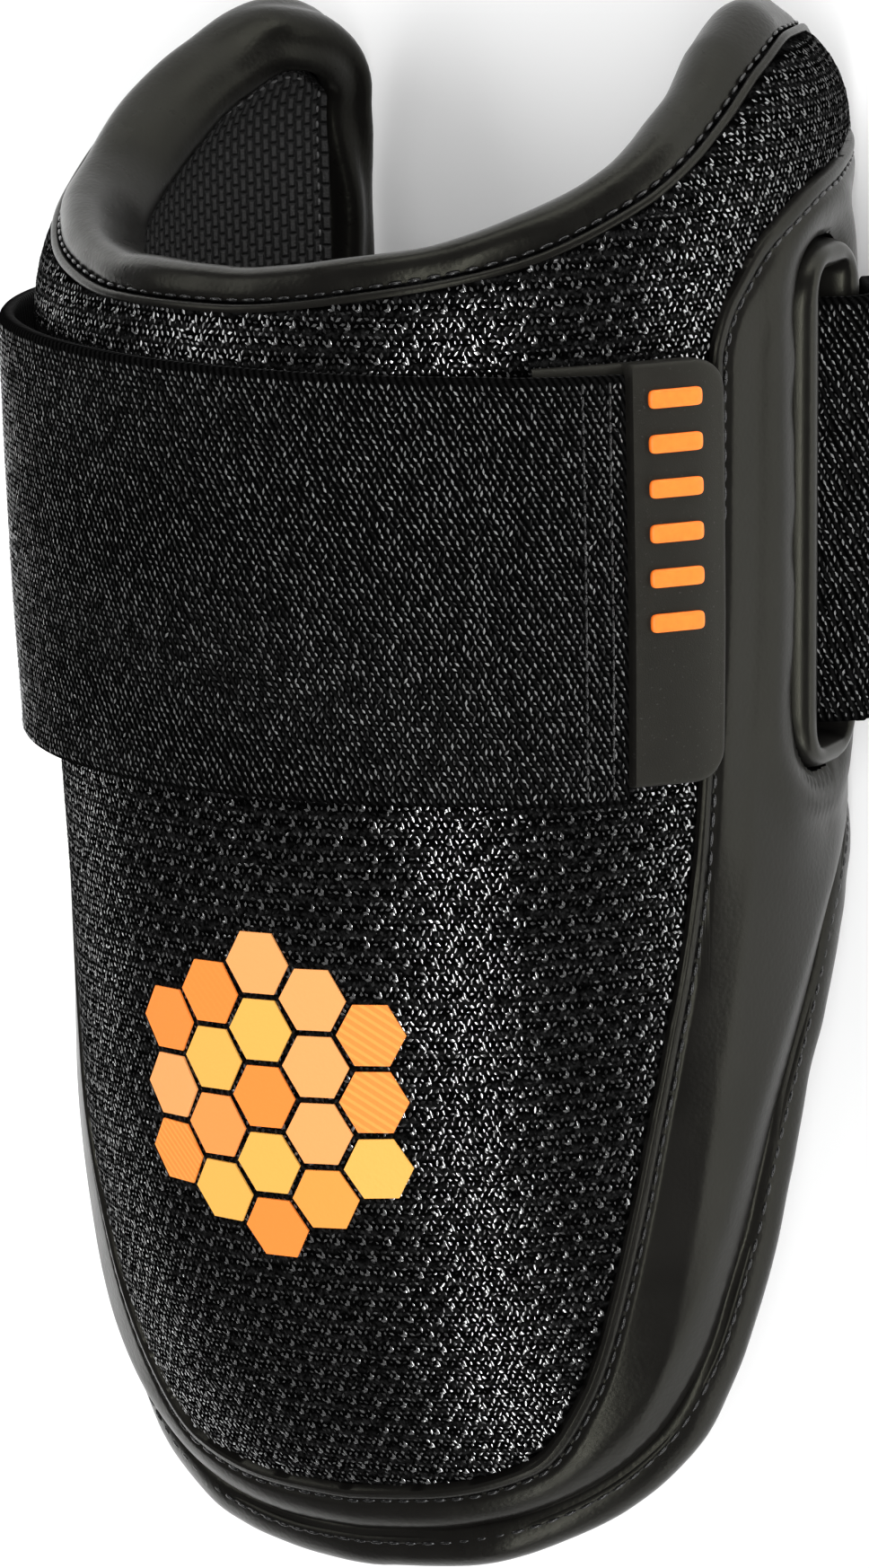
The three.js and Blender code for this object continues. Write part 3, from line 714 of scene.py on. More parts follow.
def tube_faces(sections, sides):
    """Faces of a closed tube through a loop of closed sections"""
    k, j = np.arange(sections)[:, None], np.arange(sides)[None, :]
    after, beside = (k + 1) % sections, (j + 1) % sides
    quads = np.stack(np.broadcast_arrays(k * sides + j, k * sides + beside,
                                         after * sides + beside, after * sides + j), -1)
    return quads.reshape(-1, 4).tolist()


def cut_slot(piece, margin):
    """Cuts the slot's outline out of a piece of the wall"""
    outline = oblong(RING_WIDTH + 2 * margin, RING_LENGTH + 2 * margin, RING_CORNER + margin)
    count = len(outline)
    walls = np.concatenate([at_slot(outline, -CUT_REACH), at_slot(outline, CUT_REACH)])
    faces = [(k, (k + 1) % count, count + (k + 1) % count, count + k) for k in range(count)]
    faces += [tuple(range(count))[::-1], tuple(range(count, 2 * count))]
    cutter = new_piece(piece.name + "_cutter", walls, faces, leather, sharp=0)
    trim = piece.modifiers.new("slot", "BOOLEAN")
    trim.operation = "DIFFERENCE"
    trim.solver = "EXACT"
    trim.object = cutter
    bake(piece)
    piece.data.set_sharp_from_angle(angle=math.radians(50))
    bpy.data.objects.remove(cutter)


cut_slot(leather_border, SLOT_CLEAR)
dress(leather_border, "side_panel")


# Border stitches: black bonded thread in one lockstitched row that holds the leather's turned edge down
# on the knit. Each stitch lies in the groove that its pull has made.
THREAD_PITCH, THREAD_LENGTH, THREAD_RADIUS = 2.8, 2.3, 0.34
HEM_LIFT = 0.12
UNEVEN = ((0.9, 0.9, 0.88), (1.1, 1.1, 1.08))


def thread_finish(name, dark, light, roughness, roughness_spread):
    finish = Finish(name)
    twist = finish.noise(3500, 1)
    finish.set(base_color=twist.blend(grey(dark), grey(light)),
               roughness=roughness + twist * roughness_spread)
    return finish


black_thread = thread_finish("black_thread", 0.002, 0.012, 0.2, 0.15)
stitch_tree = Tree("stitch_row", Pitch="Float", Length="Float", Thread="Float", Finish="Material")
ports = stitch_tree.inputs
line = stitch_tree.node("GeometryNodeMeshToCurve", None, {0: ports["Geometry"]})
spaced = stitch_tree.node("GeometryNodeResampleCurve", {"mode": "LENGTH"},
                          {0: line, "Length": ports["Pitch"]})
tangent = stitch_tree.node("GeometryNodeInputTangent")
lying = stitch_tree.node("FunctionNodeAlignRotationToVector", {"axis": "Z"}, {"Vector": tangent})
ball = stitch_tree.node("GeometryNodeMeshUVSphere", None, {"Segments": 7, "Rings": 5, "Radius": 1.0})
slim = stitch_tree.node("ShaderNodeCombineXYZ", None,
                        {0: ports["Thread"], 1: ports["Thread"], 2: ports["Length"]})
uneven = stitch_tree.node("FunctionNodeRandomValue", {"data_type": "FLOAT_VECTOR"},
                          {0: UNEVEN[0], 1: UNEVEN[1], "Seed": 4})
size = stitch_tree.node("ShaderNodeVectorMath", {"operation": "MULTIPLY"}, {0: slim, 1: uneven})
stitch_tree.end(stitch_tree.node("GeometryNodeInstanceOnPoints", None,
                                 {"Points": spaced, "Instance": ball, "Rotation": lying, "Scale": size}))


def sew(name, lines, finish=black_thread, pitch=THREAD_PITCH, length=THREAD_LENGTH,
        radius=THREAD_RADIUS):
    """Rows of stitches along lines of points"""
    points, edges = [], []
    for line in lines:
        edges += [(len(points) + k, len(points) + k + 1) for k in range(len(line) - 1)]
        points += list(line)
    piece = new_piece(name, points, sharp=0, edges=edges)
    stitch_tree.apply(piece, finish, Pitch=pitch / 1000, Length=length / 2000, Thread=radius / 1000)
    dress(piece)


def beside_edge(edge, angles, inward):
    """Angles and stations at a distance from an edge of the wall, towards greater stations for plus"""
    stations = edge(angles)
    run = unit(np.gradient(cloth_place(angles, stations), axis=0))
    slant = np.gradient(along_arm(stations), stations + 1e-9 * np.arange(len(angles)))
    return (angles - inward * np.degrees(run[:, 1] / ARM_RADIUS),
            stations + inward * run[:, 0] / np.clip(slant, 1, 4))


def on_face(line, piece, lift):
    """A line of points laid on the nearest face of a piece"""
    mesh = piece.data
    tree = BVHTree.FromPolygons([v.co for v in mesh.vertices], [f.vertices for f in mesh.polygons])
    found = [tree.find_nearest(Vector(point)) for point in (line - MIDDLE) / 1000]
    return np.array([spot * 1000 + normal * lift for spot, normal, _, _ in found]) + MIDDLE


hem_angles = even_angles(knit_seam, 900, REAR_ANGLE - 1)
hem_line = wall_point(*beside_edge(knit_seam, hem_angles, -STITCH_IN), -0.4)
sew("border_stitches", [on_face(hem_line, leather_border, HEM_LIFT)])


# Front print: a honeycomb of thin soft-plastic cells in orange tints, some of them hatched. They are
# cut from a film, pressed on the knit with heat, and stand a little proud of it.
CELL_RADIUS, CELL_GAP = 5.2, 0.9
CELL_THICK, CELL_LIFT = 0.3, 0.2
PRINT_STATION, PRINT_ANGLE = 77.5, -1
PRINT_ROWS = (3, 4, 5, 4, 3)
AMBER, ORANGE, PEACH = (0.8, 0.39, 0.07, 1), (0.9, 0.23, 0.03, 1), (0.82, 0.33, 0.1, 1)
HATCH_SHARE = 0.45
print_finish = Finish("orange_print")
tint = print_finish.held("tint")
hatch = print_finish.wire.node("TexWave", {"bands_direction": "DIAGONAL"},
                               {"Vector": print_finish.place(), "Scale": 420.0})
weave_show = print_finish.noise(1400)
tinted = tint.ramp(0.7, 0.75).blend(tint.ramp(0.25, 0.3).blend(AMBER, ORANGE), PEACH)
hatched = hatch.ramp(0.55, 0.75) * tint.ramp(0.45, 0.5) * (1 - tint.ramp(0.62, 0.68)) * HATCH_SHARE
print_finish.set(base_color=hatched.blend(tinted, AMBER), roughness=0.45 + weave_show * 0.15, specular=0.4)
print_finish.bump(weave_show, 0.0001, 0.5)

step_across = 1.5 * CELL_RADIUS + CELL_GAP * 0.87
step_along = math.sqrt(3) * CELL_RADIUS + CELL_GAP
cells = []
for column, count in enumerate(PRINT_ROWS):
    shift_across = (column - (len(PRINT_ROWS) - 1) / 2) * step_across
    cell_angle = PRINT_ANGLE + math.degrees(shift_across / look_up(SECTIONS, 1, PRINT_STATION))
    for row in range(count):
        cells.append((cell_angle, PRINT_STATION + (row - (count - 1) / 2) * step_along))
cell_angle, cell_station = np.array(cells).T
cell_facing = outer_normal(cell_angle, cell_station)
cell_side = unit(np.cross(run_of(cell_angle, cell_station), cell_facing))
cell_tint = np.random.default_rng(7).permutation(np.linspace(0, 1, len(cells)))
print_tree = scatter_tree("print_cells", "GeometryNodeMeshCylinder",
                          {"Vertices": 6, "Radius": 1.0, "Depth": 1.0})
scatter(print_tree, "front_print", outer_point(cell_angle, cell_station) + CELL_LIFT * cell_facing,
        cell_facing, cell_side, (CELL_RADIUS, CELL_RADIUS, CELL_THICK), print_finish, "knit", sharp=30,
        tint=cell_tint)


# Waffle lining: a dull brick-pattern knit over soft foam on the inside of the shell,
# its edges caught under the edge roll by a row of stitches.
LINING_COLUMNS, LINING_ROWS = 221, 90
LINING_LAP, LAP_STARTS, LAP_ENDS = 3.2, (74, 96), (121, 129)
LINING_CLEAR = 0.4
PRESSED, PRESSED_WIDTH, PRESSED_IN = 0.9, 0.9, 1.4
BRICK_WIDTH, BRICK_HEIGHT = 1.75, 2.3
CATCH_IN, CATCH_SINK = 2.0, 0.4
waffle = Finish("waffle_lining")
across, along, _ = waffle.laid()
brick_column = across / BRICK_WIDTH
column_number = brick_column.math("FLOOR")
brick = along / BRICK_HEIGHT + column_number * 0.5
rounded = (1 - (brick_column - column_number - 0.5).math("ABSOLUTE") * 2).ramp(0.0, 0.6)
stacked = (1 - (brick - brick.math("FLOOR") - 0.5).math("ABSOLUTE") * 2).ramp(0.0, 0.4)
cushion = rounded * stacked
fuzz = waffle.noise(2600, 3)
# The colour is darker in the hollows between the raised bricks: painted shade, with a random fuzz tone.
waffle.set(base_color=(cushion * 0.6 + fuzz * 0.4).blend(grey(0.005), grey(0.05, 0.01)), roughness=0.7,
           specular=0.2)
waffle.bump(cushion + fuzz * 0.3, 0.0008)


def lining_over(angle):
    """How far the lining goes up inside the roll, at the left wing"""
    left = -np.asarray(angle)
    return LINING_LAP * smooth(left, *LAP_STARTS) * (1 - smooth(left, *LAP_ENDS))


lining_angle = even_angles(lower_station, LINING_COLUMNS)
lining_high = rim_station(lining_angle) + lining_over(lining_angle)
lining_grid = wall_grid(lining_angle, lower_station(lining_angle), lining_high,
                        np.linspace(0, 1, LINING_ROWS))
to_rear = np.radians(REAR_ANGLE - np.abs(lining_grid[0])) * (ARM_RADIUS - WALL)
to_lower = distance_to_edge(cloth_place(*lining_grid), lower_station)
lining_edge = np.minimum(np.minimum(lining_high - lining_grid[1], to_lower), to_rear)
pressed = PRESSED * ridge(lining_edge, PRESSED_WIDTH, PRESSED_IN)
lining_points = np.stack([wall_point(*lining_grid, WALL - LINING),
                          wall_point(*lining_grid, WALL - pressed)])
waffle_lining = new_piece("waffle_lining", lining_points, slab_faces(LINING_ROWS, LINING_COLUMNS), waffle)
cut_slot(waffle_lining, LINING_CLEAR)
spots = np.array([vertex.co for vertex in waffle_lining.data.vertices]) * 1000 + MIDDLE
spot_side = spots[:, 0] - look_up(SECTIONS, 3, spots[:, 1])
spot_angle = np.degrees(np.arctan2(spot_side, spots[:, 2] + look_up(SECTIONS, 2, spots[:, 1])))
hold(waffle_lining.data, "lay", np.insert(cloth_place(spot_angle, spots[:, 1]), 2, 0, -1))
dress(waffle_lining, "lining")

catch_lines = []
for edge_of, inward in ((rim_station, -CATCH_IN), (lower_station, CATCH_IN)):
    angles = even_angles(edge_of, 500, REAR_ANGLE - 7)
    lap = lining_over(angles) * (inward < 0)
    catch_lines.append(wall_point(angles, edge_of(angles) + lap + inward, WALL - CATCH_SINK))
for angle in (CATCH_IN - REAR_ANGLE, REAR_ANGLE - CATCH_IN):
    stations = np.linspace(lower_station(angle) + 3, rim_station(angle) - 3, 60)
    catch_lines.append(wall_point(np.full(60, angle), stations, WALL - CATCH_SINK))
grey_thread = thread_finish("grey_thread", 0.05, 0.16, 0.5, 0.0)
sew("lining_stitches", catch_lines, grey_thread, pitch=2.3, length=1.1, radius=0.24)


# Edge roll: a soft leather tube over a foam cord, sewn round the whole edge of the shell. It is fuller
# at the right upper corner, and creased where it turns at the rear corners.
LOWER_ROLL, REAR_ROLL = 8.5, 7.5
ROLL_POINTS = (330, 260, 56)
ROLL_SIDES = 30
ROLL_PROUD = 0.4
ROLL_ROOT, ROLL_FULLNESS = 0.4, 0.85
ROLL_STEP, ROOT_TUCK = 0.3, 0.6
RIM_FROM_STATION = 180
CREASE, CREASE_TURNS, CREASE_ANGLES = 0.7, 4.4, (108, 128)
CREASE_DRIFT, CREASE_DRIFT_LENGTH = 4, 26
SOFT_DENTS = ((17, 0.5), (7, 0.16))
roll_leather = leather_finish("roll_leather", 0.0055, 0.2)


def edge_loop(lower_count, rim_count, rear_count):
    """Angle, station and roll reach round the whole edge, one way round"""
    lower = even_angles(lower_station, lower_count)
    upper = even_angles(rim_station, rim_count)[::-1]

    def rear(angle, share):
        station = lower_station(angle) + (rim_station(angle) - lower_station(angle)) * share
        return np.full(rear_count, angle), station, np.full(rear_count, REAR_ROLL)

    at_rear = smooth(np.abs(lower), REAR_ANGLE - 30, REAR_ANGLE)
    up_share = np.linspace(0, 1, rear_count + 2)[1:-1]
    parts = [
        (lower, lower_station(lower), LOWER_ROLL + (REAR_ROLL - LOWER_ROLL) * at_rear),
        rear(REAR_ANGLE, up_share),
        (upper, rim_station(upper), look_up(RIM, 3, upper)),
        rear(-REAR_ANGLE, up_share[::-1]),
    ]
    return (np.concatenate(column) for column in zip(*parts))


def fuller(value, power):
    return np.sign(value) * np.abs(value) ** power


edge_angle, edge_station, edge_reach = edge_loop(*ROLL_POINTS)
edge_count = len(edge_angle)
seam_point = outer_point(edge_angle, edge_station)
seam_normal = outer_normal(edge_angle, edge_station)
seam_run = np.roll(seam_point, -1, 0) - np.roll(seam_point, 1, 0)
seam_out = unit(np.cross(seam_run, seam_normal))
edge_length = np.cumsum(np.linalg.norm(seam_point - np.roll(seam_point, 1, 0), axis=1))


def from_seam(out, up):
    """Points beside the roll's seam: out over the edge, and up off the outer face"""
    out, up = (np.broadcast_to(value, (edge_count, value.shape[-1]))[..., None] for value in (out, up))
    return seam_point[:, None] + seam_out[:, None] * out + seam_normal[:, None] * up


root_turn = math.asin(ROLL_ROOT / (1 - ROLL_ROOT))
turn = np.linspace(-root_turn, math.pi + root_turn, ROLL_SIDES)
profile_out = np.clip(ROLL_ROOT + (1 - ROLL_ROOT) * fuller(np.sin(turn), ROLL_FULLNESS), 0, None)
profile_depth = WALL / 2 - (WALL / 2 + ROLL_PROUD) * fuller(np.cos(turn), ROLL_FULLNESS)
on_lining = profile_depth > WALL - LINING - 0.8
lapped = lining_over(edge_angle) * (edge_station > RIM_FROM_STATION)
roll_out = np.maximum(edge_reach[:, None] * profile_out, on_lining * lapped[:, None])
roll_out = roll_out + ROLL_STEP - ROOT_TUCK * np.exp(-roll_out)
roll_points = from_seam(roll_out, -profile_depth)
roll_centre = from_seam((ROLL_STEP + 0.4 * edge_reach)[:, None], np.array([-WALL / 2]))
away = unit(roll_points - roll_centre)
for k in range(edge_count):
    rear_fold = CREASE * smooth(abs(edge_angle[k]), *CREASE_ANGLES)
    fold_start = CREASE_DRIFT * noise.noise(Vector((edge_length[k] / CREASE_DRIFT_LENGTH, 0, 3)))
    for j in range(1, ROLL_SIDES - 1):
        move = rear_fold * math.sin(CREASE_TURNS * turn[j] + fold_start)
        for place, (reach, depth) in enumerate(SOFT_DENTS):
            move += depth * noise.noise(Vector(roll_points[k, j] / reach) + Vector((9 * place, 0, 0)))
        roll_points[k, j] += away[k, j] * move
edge_roll = new_piece("edge_roll_leather", roll_points, tube_faces(edge_count, ROLL_SIDES), roll_leather,
                      sharp=75)
dress(edge_roll, "edge_roll")


# Seam lips: the leather's doubled edge stands up as a narrow lip along the roll's seam, on the knit
# along the rim and on the roll along the hand end, with a row of stitches in the valley beside it.
LIP_WIDTH, LIP_RISE, LIP_SIDES = 1.4, 0.7, 10
LIP_ON_KNIT, LIP_ON_ROLL = (-1.25, -0.35), (1.5, -0.55)
LIP_BLEND = 7
VALLEY_OUT, VALLEY_UP = 0.05, -0.25
on_rim = edge_station > look_up(KNIT_SEAM, 1, np.abs(edge_angle))
blending = np.hanning(2 * LIP_BLEND + 1)


def blended(values):
    """Values round the edge, with their steps made gradual"""
    looped = np.concatenate([values[-LIP_BLEND:], values, values[:LIP_BLEND]])
    return np.convolve(looped, blending / blending.sum(), "valid")


lip_out, lip_up = (blended(np.where(on_rim, knit, roll)) for knit, roll in zip(LIP_ON_KNIT, LIP_ON_ROLL))
lip_turn = np.linspace(0, 2 * math.pi, LIP_SIDES, endpoint=False)
lip_points = from_seam(lip_out[:, None] + LIP_WIDTH / 2 * np.cos(lip_turn),
                       lip_up[:, None] + LIP_RISE * np.sin(lip_turn))
seam_lip = new_piece("seam_lip", lip_points, tube_faces(edge_count, LIP_SIDES), leather, sharp=0)
dress(seam_lip)
sew_out = np.where(lip_out < 0, VALLEY_OUT, lip_out + 0.1)
sew_up = np.where(lip_out < 0, VALLEY_UP, lip_up + LIP_RISE)
seam_line = from_seam(sew_out[:, None], sew_up[:, None])[:, 0]
sew("roll_stitches", [np.concatenate([seam_line, seam_line[:1]])], length=2.2, radius=0.3)


# Slot ring: a moulded soft-plastic eyelet with round bars, set through the right wing. The strap's
# fixed end passes through it.
RING_BAR, RING_END, RING_HOLE_CORNER = 5.4, 4.5, 1.5
RING_PROUD = 1.9
RING_SIDES = 20
RING_OUTLINE = {"arc_points": 14, "side_points": 10}
moulded = Finish("moulded_ring")
ring_mottle = moulded.noise(180, 3)
moulded.set(base_color=ring_mottle.blend(grey(0.004, 0.06), grey(0.007, 0.06)),
            roughness=0.24 + ring_mottle * 0.14, specular=0.22, sheen=WARM_SHEEN)
moulded.bump(moulded.noise(3800), 0.00005, 0.4)
ring_outer = oblong(RING_WIDTH, RING_LENGTH, RING_CORNER, **RING_OUTLINE)
ring_inner = oblong(RING_WIDTH - 2 * RING_BAR, RING_LENGTH - 2 * RING_END, RING_HOLE_CORNER, **RING_OUTLINE)
ring_turn = np.linspace(0, 2 * math.pi, RING_SIDES, endpoint=False)
ring_share = 0.5 + 0.5 * fuller(np.cos(ring_turn), 0.8)
ring_height = (RING_PROUD - WALL) / 2 + (RING_PROUD + WALL) / 2 * fuller(np.sin(ring_turn), 0.55)
ring_flat = ring_inner[:, None] + (ring_outer - ring_inner)[:, None] * ring_share[None, :, None]
ring_faces = [face[::-1] for face in tube_faces(len(ring_outer), RING_SIDES)]
ring_moulding = new_piece("ring_moulding", at_slot(ring_flat, ring_height), ring_faces, moulded, sharp=0)
dress(ring_moulding, "slot_ring")


# Strap: a wide woven elastic, sewn inside the shell, out through the slot ring, round the back and over
# the front, where its end is sewn on the pull tab.
STRAP_WIDTH, STRAP_THICK = 62.4, 2.4
STRAP_MIDDLE = 156.6
STRAP_END_ANGLE = 53.5
SEAT_GAP = 0.6
BACK_DROP, BACK_ROUNDING = 45.8, 3
TAB_BASE_ANGLE, TAB_BASE_THICK = 41.5, 1.1
LEFT_WING_ANGLE, RIGHT_WING_ANGLE = -122, -237
STRAP_ROWS, STRAP_COLUMNS = 44, 360
STRAP_ANCHOR = [
    # angle, lift
    (121, 1.9), (115, 2.6), (110.5, 4), (106.5, 4.7), (103.5, 4.4), (101, 2.2), (99.6, -2), (98.2, -6),
    (96.6, -10), (94.2, -13.2), (90.5, -14.6), (80, -14), (70, -13.8),
]
STRAP_LAY = [
    # angle, station, standoff
    (-236, 152.5, 0), (-218, 149.5, 0), (-180, 147, 0), (-142, 149.5, 0), (-128, 151.5, 0),
    (-112, 153.8, 1.2), (-90, 155, 2.2), (-62, 154.9, 2.2), (-42, 154.5, 1.2), (-22, 154, 0.2), (0, 153.5, 0),
    (STRAP_END_ANGLE, 151.6, 0),
]
TWILL_ACROSS, TWILL_ALONG, TWILL_STEP = 1.1, 0.8, 0.4
END_ROWS, END_GROOVE, END_GROOVE_WIDTH = (2.6, 6.6), 0.3, 0.6
END_ROW_HALF = 29.6
BINDING, SIDE_LEAST, END_LEAST = 1.2, 0.45, 0.55
BEAD, BEAD_WIDTH, BEAD_IN = 0.12, 0.7, 1.6
elastic = Finish("woven_elastic")
across, along, inner_face = elastic.laid()
filament = elastic.noise(3200)
diagonal = (across / TWILL_ACROSS - along / TWILL_ALONG * TWILL_STEP).wave()
woven = diagonal * filament
outer_tone, inner_tone = woven.blend(grey(0.0005), grey(0.007)), woven.blend(grey(0.003), grey(0.06))
elastic.set(base_color=inner_face.blend(outer_tone, inner_tone), roughness=0.7, specular=0.0)
elastic.bump(diagonal * 0.5 + filament * 0.6, 0.0002)


def strap_lift(angle):
    on_tab = smooth(angle, TAB_BASE_ANGLE - 8, TAB_BASE_ANGLE - 1)
    seat = SEAT_GAP + STRAP_THICK / 2 + on_tab * (TAB_BASE_THICK + SEAT_GAP / 2)
    return seat + look_up(STRAP_LAY, 2, angle)


def smooth_path(points, count):
    """A smooth line through points, spaced by the square root of their distance"""
    keys = run_length(points, 0.5)
    slopes = np.gradient(points, keys, axis=0)
    at = np.linspace(0, keys[-1], count)
    return np.stack([curve(keys, points[:, axis], slopes[:, axis], at) for axis in range(3)], -1)


def strap_way(offset):
    """The strap's middle layer at an offset across it, from the free end to the sewn one, and its length"""
    front = np.linspace(STRAP_END_ANGLE, LEFT_WING_ANGLE, 190)
    rear = np.linspace(LEFT_WING_ANGLE - 1, RIGHT_WING_ANGLE, 110)
    front_station, rear_station = (look_up(STRAP_LAY, 1, angle) + offset for angle in (front, rear))
    own_angle = np.where(rear < -180, rear + 360, rear)
    on_wing = wall_radius(own_angle, rear_station) + strap_lift(rear)
    chord = (BACK_DROP + STRAP_THICK / 2) / -np.cos(np.radians(rear))
    meet = np.clip(BACK_ROUNDING - np.abs(on_wing - chord), 0, None) / BACK_ROUNDING
    reach = np.minimum(on_wing, chord) - meet * meet * BACK_ROUNDING / 4
    anchor_angle, anchor_lift = np.array(STRAP_ANCHOR).T
    path = np.concatenate([
        outer_point(front, front_station, strap_lift(front)),
        np.stack([reach * np.sin(np.radians(rear)), rear_station, reach * np.cos(np.radians(rear))], -1),
        smooth_path(outer_point(anchor_angle, STRAP_MIDDLE + offset, anchor_lift), 90),
    ])
    length = run_length(path)
    even = np.linspace(0, length[-1], STRAP_COLUMNS)
    return np.stack([np.interp(even, length, path[:, axis]) for axis in range(3)], -1), even


def bound_edge(distance, least):
    """Share of the strap's thickness that is left near an edge"""
    return least + (1 - least) * (1 - rounding(distance, BINDING) / BINDING)


strap_length = strap_way(0.0)[1]
strap_offsets = STRAP_WIDTH / 2 * np.sin(np.linspace(-1, 1, STRAP_ROWS) * math.pi / 2)
strap_outer, strap_inner, strap_lay = [], [], []
for offset in strap_offsets:
    way, length = strap_way(offset)
    run = np.gradient(way, axis=0)
    out = unit(np.stack([run[:, 2], 0 * length, -run[:, 0]], -1))
    from_edge = STRAP_WIDTH / 2 - abs(offset)
    thick = STRAP_THICK / 2 * bound_edge(from_edge, SIDE_LEAST) * bound_edge(length, END_LEAST)
    sewn_down = END_GROOVE * sum(ridge(length, END_GROOVE_WIDTH, row) for row in END_ROWS)
    bead = BEAD * ridge(from_edge, BEAD_WIDTH, BEAD_IN)
    strap_outer.append(way + out * (thick + bead - sewn_down)[:, None])
    strap_inner.append(way - out * thick[:, None])
    strap_lay.append(np.stack([length, np.full(len(length), offset)], -1))
strap_outer = np.array(strap_outer)
strap_sides = np.stack([np.insert(strap_lay, 2, inside, -1) for inside in (1, 0)])
elastic_strap = new_piece("elastic_strap", np.stack([strap_inner, strap_outer]),
                          slab_faces(STRAP_ROWS, STRAP_COLUMNS), elastic, strap_sides)
dress(elastic_strap, "strap")


def on_strap(run_in, offset):
    """Places on the strap's outer face by length from its free end and offset, with three directions"""
    u = np.clip(run_in / strap_length[-1] * (STRAP_COLUMNS - 1), 0, STRAP_COLUMNS - 1.001)
    v = np.clip(np.interp(offset, strap_offsets, np.arange(STRAP_ROWS)), 0, STRAP_ROWS - 1.001)
    i, j = u.astype(int), v.astype(int)
    du, dv = (u - i)[:, None], (v - j)[:, None]
    low, high = (strap_outer[k, i] * (1 - du) + strap_outer[k, i + 1] * du for k in (j, j + 1))
    ahead = unit(strap_outer[j, i + 1] - strap_outer[j, i])
    upward = unit(high - low)
    return low * (1 - dv) + high * dv, ahead, upward, unit(np.cross(upward, ahead))


end_offsets = np.linspace(-END_ROW_HALF, END_ROW_HALF, 25)
end_lines = []
for row in END_ROWS:
    place, _, _, outward = on_strap(np.full(len(end_offsets), row), end_offsets)
    end_lines.append(place + 0.15 * outward)
sew("strap_stitches", end_lines, pitch=1.9, length=1.7, radius=0.24)


# Strap yarns: the elastic's twill. A shiny textured yarn floats steeply over the ground in staggered
# rows, all along the strap's outer face up to the place where it goes in behind the slot ring.
FLOAT_SIZE, FLOAT_SIZE_SPREAD = (0.92, 0.38, 0.12), (0.7, 1.2)
FLOAT_LEAN, FLOAT_LEAN_SPREAD, FLOAT_TILT = 0.45, 0.45, 0.2
FLOAT_JITTER, PICK_JITTER = 0.14, 0.07
FLOAT_GLINT_POWER = 1.4
FLOAT_START, STRAP_SHOWN = 0.8, 347
strap_yarn = Finish("strap_yarn")
glint = strap_yarn.held("glint")
# Each float's glint value lightens its colour as a painted glint, and also sets the weight of its coat.
strap_yarn.set(base_color=glint.blend(grey(0.001), grey(0.12)), roughness=0.4, specular=0.2,
               coat=glint ** 0.5, coat_roughness=0.35, coat_ior=1.8)
pick_offset = np.arange(-STRAP_WIDTH / 2 + 1, STRAP_WIDTH / 2 - 0.8, TWILL_ALONG)
end_count = int(STRAP_SHOWN / TWILL_ACROSS)
pick, end = (grid.ravel() for grid in np.meshgrid(np.arange(len(pick_offset)), np.arange(end_count)))
count = len(pick)
float_run = FLOAT_START + (end + (pick * TWILL_STEP) % 1) * TWILL_ACROSS
float_run += draw.uniform(-FLOAT_JITTER, FLOAT_JITTER, count)
float_offset = pick_offset[pick] + draw.uniform(-PICK_JITTER, PICK_JITTER, count)
float_place, float_ahead, float_up, float_out = on_strap(float_run, float_offset)
float_way = unit(float_up + draw.normal(FLOAT_LEAN, FLOAT_LEAN_SPREAD, (count, 1)) * float_ahead)
float_facing = unit(float_out + draw.normal(0, FLOAT_TILT, (count, 1)) * float_ahead)
float_size = FLOAT_SIZE * YARN_HALF * draw.uniform(*FLOAT_SIZE_SPREAD, (count, 1))
float_tree = scatter_tree("yarn_floats", "GeometryNodeMeshCone", YARN_BODY)
scatter(float_tree, "strap_yarns", float_place, float_facing, float_way, float_size, strap_yarn, "elastic",
        glint=draw.uniform(0, 1, count) ** FLOAT_GLINT_POWER)


# Pull tab: a moulded rubber tongue sewn under the strap's end, thin at its root, with a round-cornered
# grip end that carries a column of raised orange bars.
TAB_END_ANGLE = 68
TAB_LOW, TAB_HIGH = 122.6, 184.2
TAB_CORNER, TAB_ROUND = 4.8, 0.8
TAB_THICK = 3.2
TAB_TIP_RISE = 1.2
TAB_STEP = (STRAP_END_ANGLE + 0.5, STRAP_END_ANGLE + 1.1)
TAB_ROWS = 60
rubber = Finish("tab_rubber")
tab_mottle = rubber.noise(320, 3)
dust = rubber.noise(2300).ramp(0.66, 0.74) * 0.5
tab_tone = tab_mottle.blend(grey(0.006, 0.08), grey(0.01, 0.08))
rubber.set(base_color=dust.blend(tab_tone, grey(0.05)), roughness=0.5 + tab_mottle * 0.12, specular=0.22,
           sheen=WARM_SHEEN)
rubber.bump(rubber.noise(5200, 1), 0.00005, 0.5)


def tab_rise(angle):
    """Height of the tab's underside over the knit and the leather"""
    return SEAT_GAP + TAB_TIP_RISE * smooth(angle, STRAP_END_ANGLE, TAB_END_ANGLE - 2)


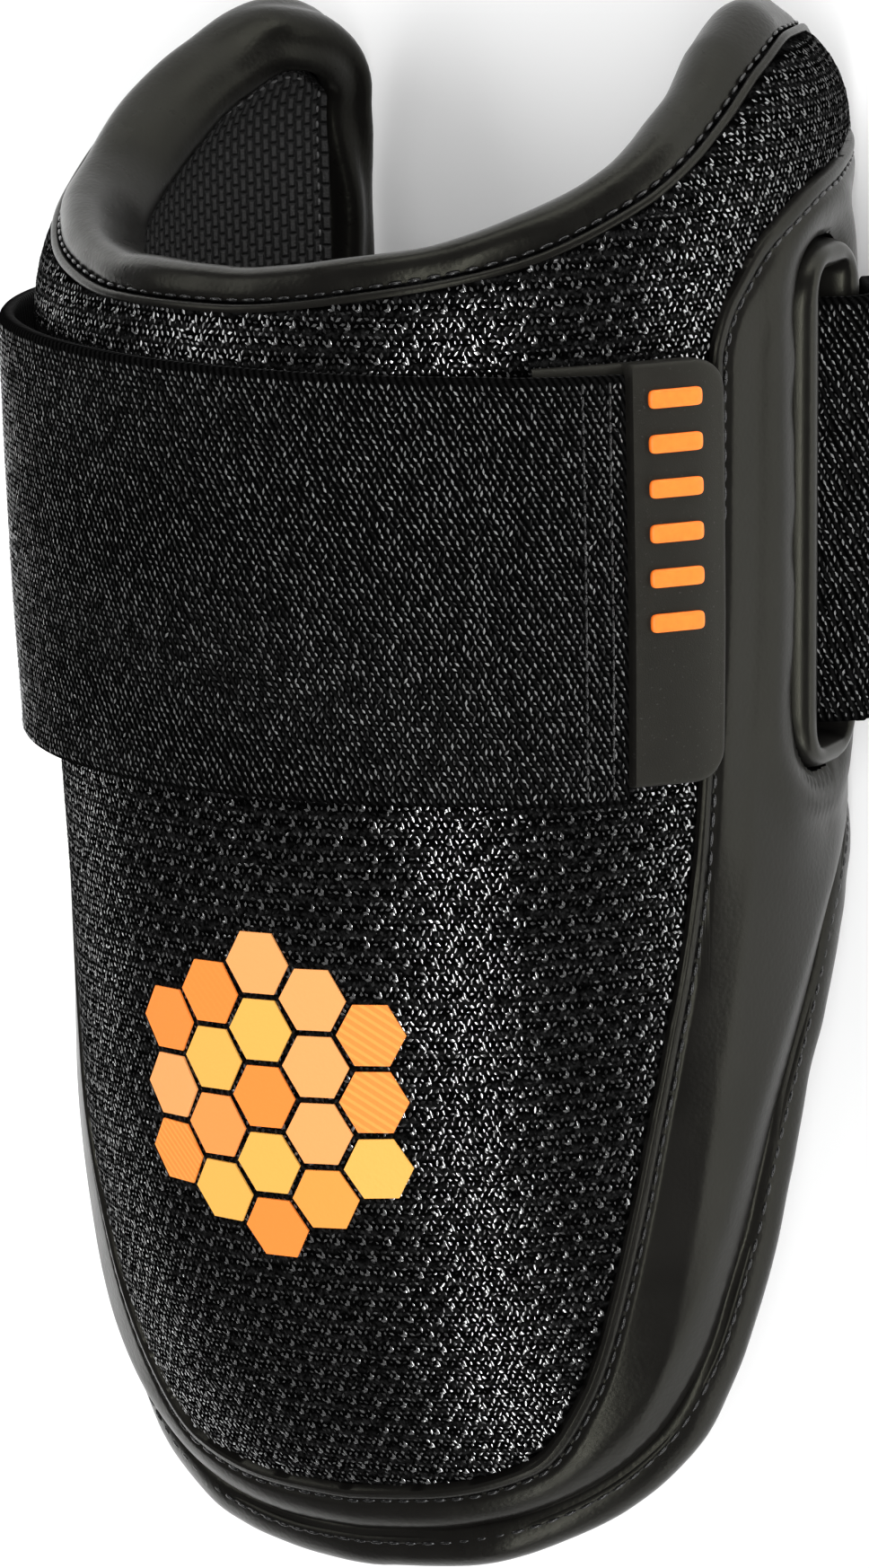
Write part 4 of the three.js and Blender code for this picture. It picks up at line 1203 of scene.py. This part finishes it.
tab_angle = np.concatenate([
    np.linspace(TAB_BASE_ANGLE, TAB_STEP[0], 18), np.linspace(*TAB_STEP, 5)[1:],
    TAB_END_ANGLE - (TAB_END_ANGLE - TAB_STEP[1]) * np.linspace(1, 0, 40)[1:] ** 1.5])
from_tip = np.radians(TAB_END_ANGLE - tab_angle) * ARM_RADIUS
tab_drawn = rounding(from_tip, TAB_CORNER)
tab_grid = wall_grid(tab_angle, TAB_LOW + tab_drawn, TAB_HIGH - tab_drawn,
                     0.5 + 0.5 * np.sin(np.linspace(-1, 1, TAB_ROWS) * math.pi / 2))
tab_angles, tab_station = tab_grid
tab_side = np.abs(tab_station - (TAB_LOW + TAB_HIGH) / 2) - ((TAB_HIGH - TAB_LOW) / 2 - TAB_CORNER)
tab_tip = np.broadcast_to(TAB_CORNER - from_tip, tab_side.shape)
tab_inside = TAB_CORNER - np.hypot(np.maximum(tab_side, 0), np.maximum(tab_tip, 0))
tab_inside = tab_inside - np.minimum(np.maximum(tab_side, tab_tip), 0)
tab_full = TAB_BASE_THICK + (TAB_THICK - TAB_BASE_THICK) * smooth(tab_angles, *TAB_STEP)
tab_top = tab_rise(tab_angles) + tab_full - np.minimum(rounding(tab_inside, TAB_ROUND), 0.7 * tab_full)
tab_points = np.stack([outer_point(*tab_grid, tab_top), outer_point(*tab_grid, tab_rise(tab_angles))])
rubber_tab = new_piece("rubber_tab", tab_points, slab_faces(TAB_ROWS, len(tab_angle)), rubber, sharp=55)
dress(rubber_tab, "pull_tab")


# Tab bars: six plain raised grip bars of orange rubber with rounded edges, in a column on the tab's
# grip end. They are moulded in one with the tab's face.
BAR_COUNT = 6
BAR_SIZE = (8.4, 2.7, 1.1)
BAR_ANGLE = 60.4
BAR_STATIONS = (146.5, 179.0)
bar_rubber = Finish("orange_rubber")
bar_mottle = bar_rubber.noise(900)
bar_rubber.set(base_color=bar_mottle.blend((0.9, 0.156, 0.01, 1), (1.0, 0.218, 0.018, 1)), roughness=0.45,
               specular=0.4)
bar_rubber.bump(bar_mottle, 0.00005, 0.4)
bar_station = np.linspace(*BAR_STATIONS, BAR_COUNT)
bar_rise = tab_rise(BAR_ANGLE) + TAB_THICK
bar_side = unit(outer_point(BAR_ANGLE + 0.4, bar_station, bar_rise + 0.05)
                - outer_point(BAR_ANGLE - 0.4, bar_station, bar_rise - 0.05))
bar_facing = unit(np.cross(bar_side, np.array([0, 1.0, 0])))
bar_tree = scatter_tree("grip_bars", "GeometryNodeMeshCube",
                        {"Size": (1, 1, 1), "Vertices X": 7, "Vertices Y": 3, "Vertices Z": 3}, rounds=2)
scatter(bar_tree, "tab_bars", outer_point(BAR_ANGLE, bar_station, bar_rise), bar_facing, bar_side, BAR_SIZE,
        bar_rubber, "moulded")
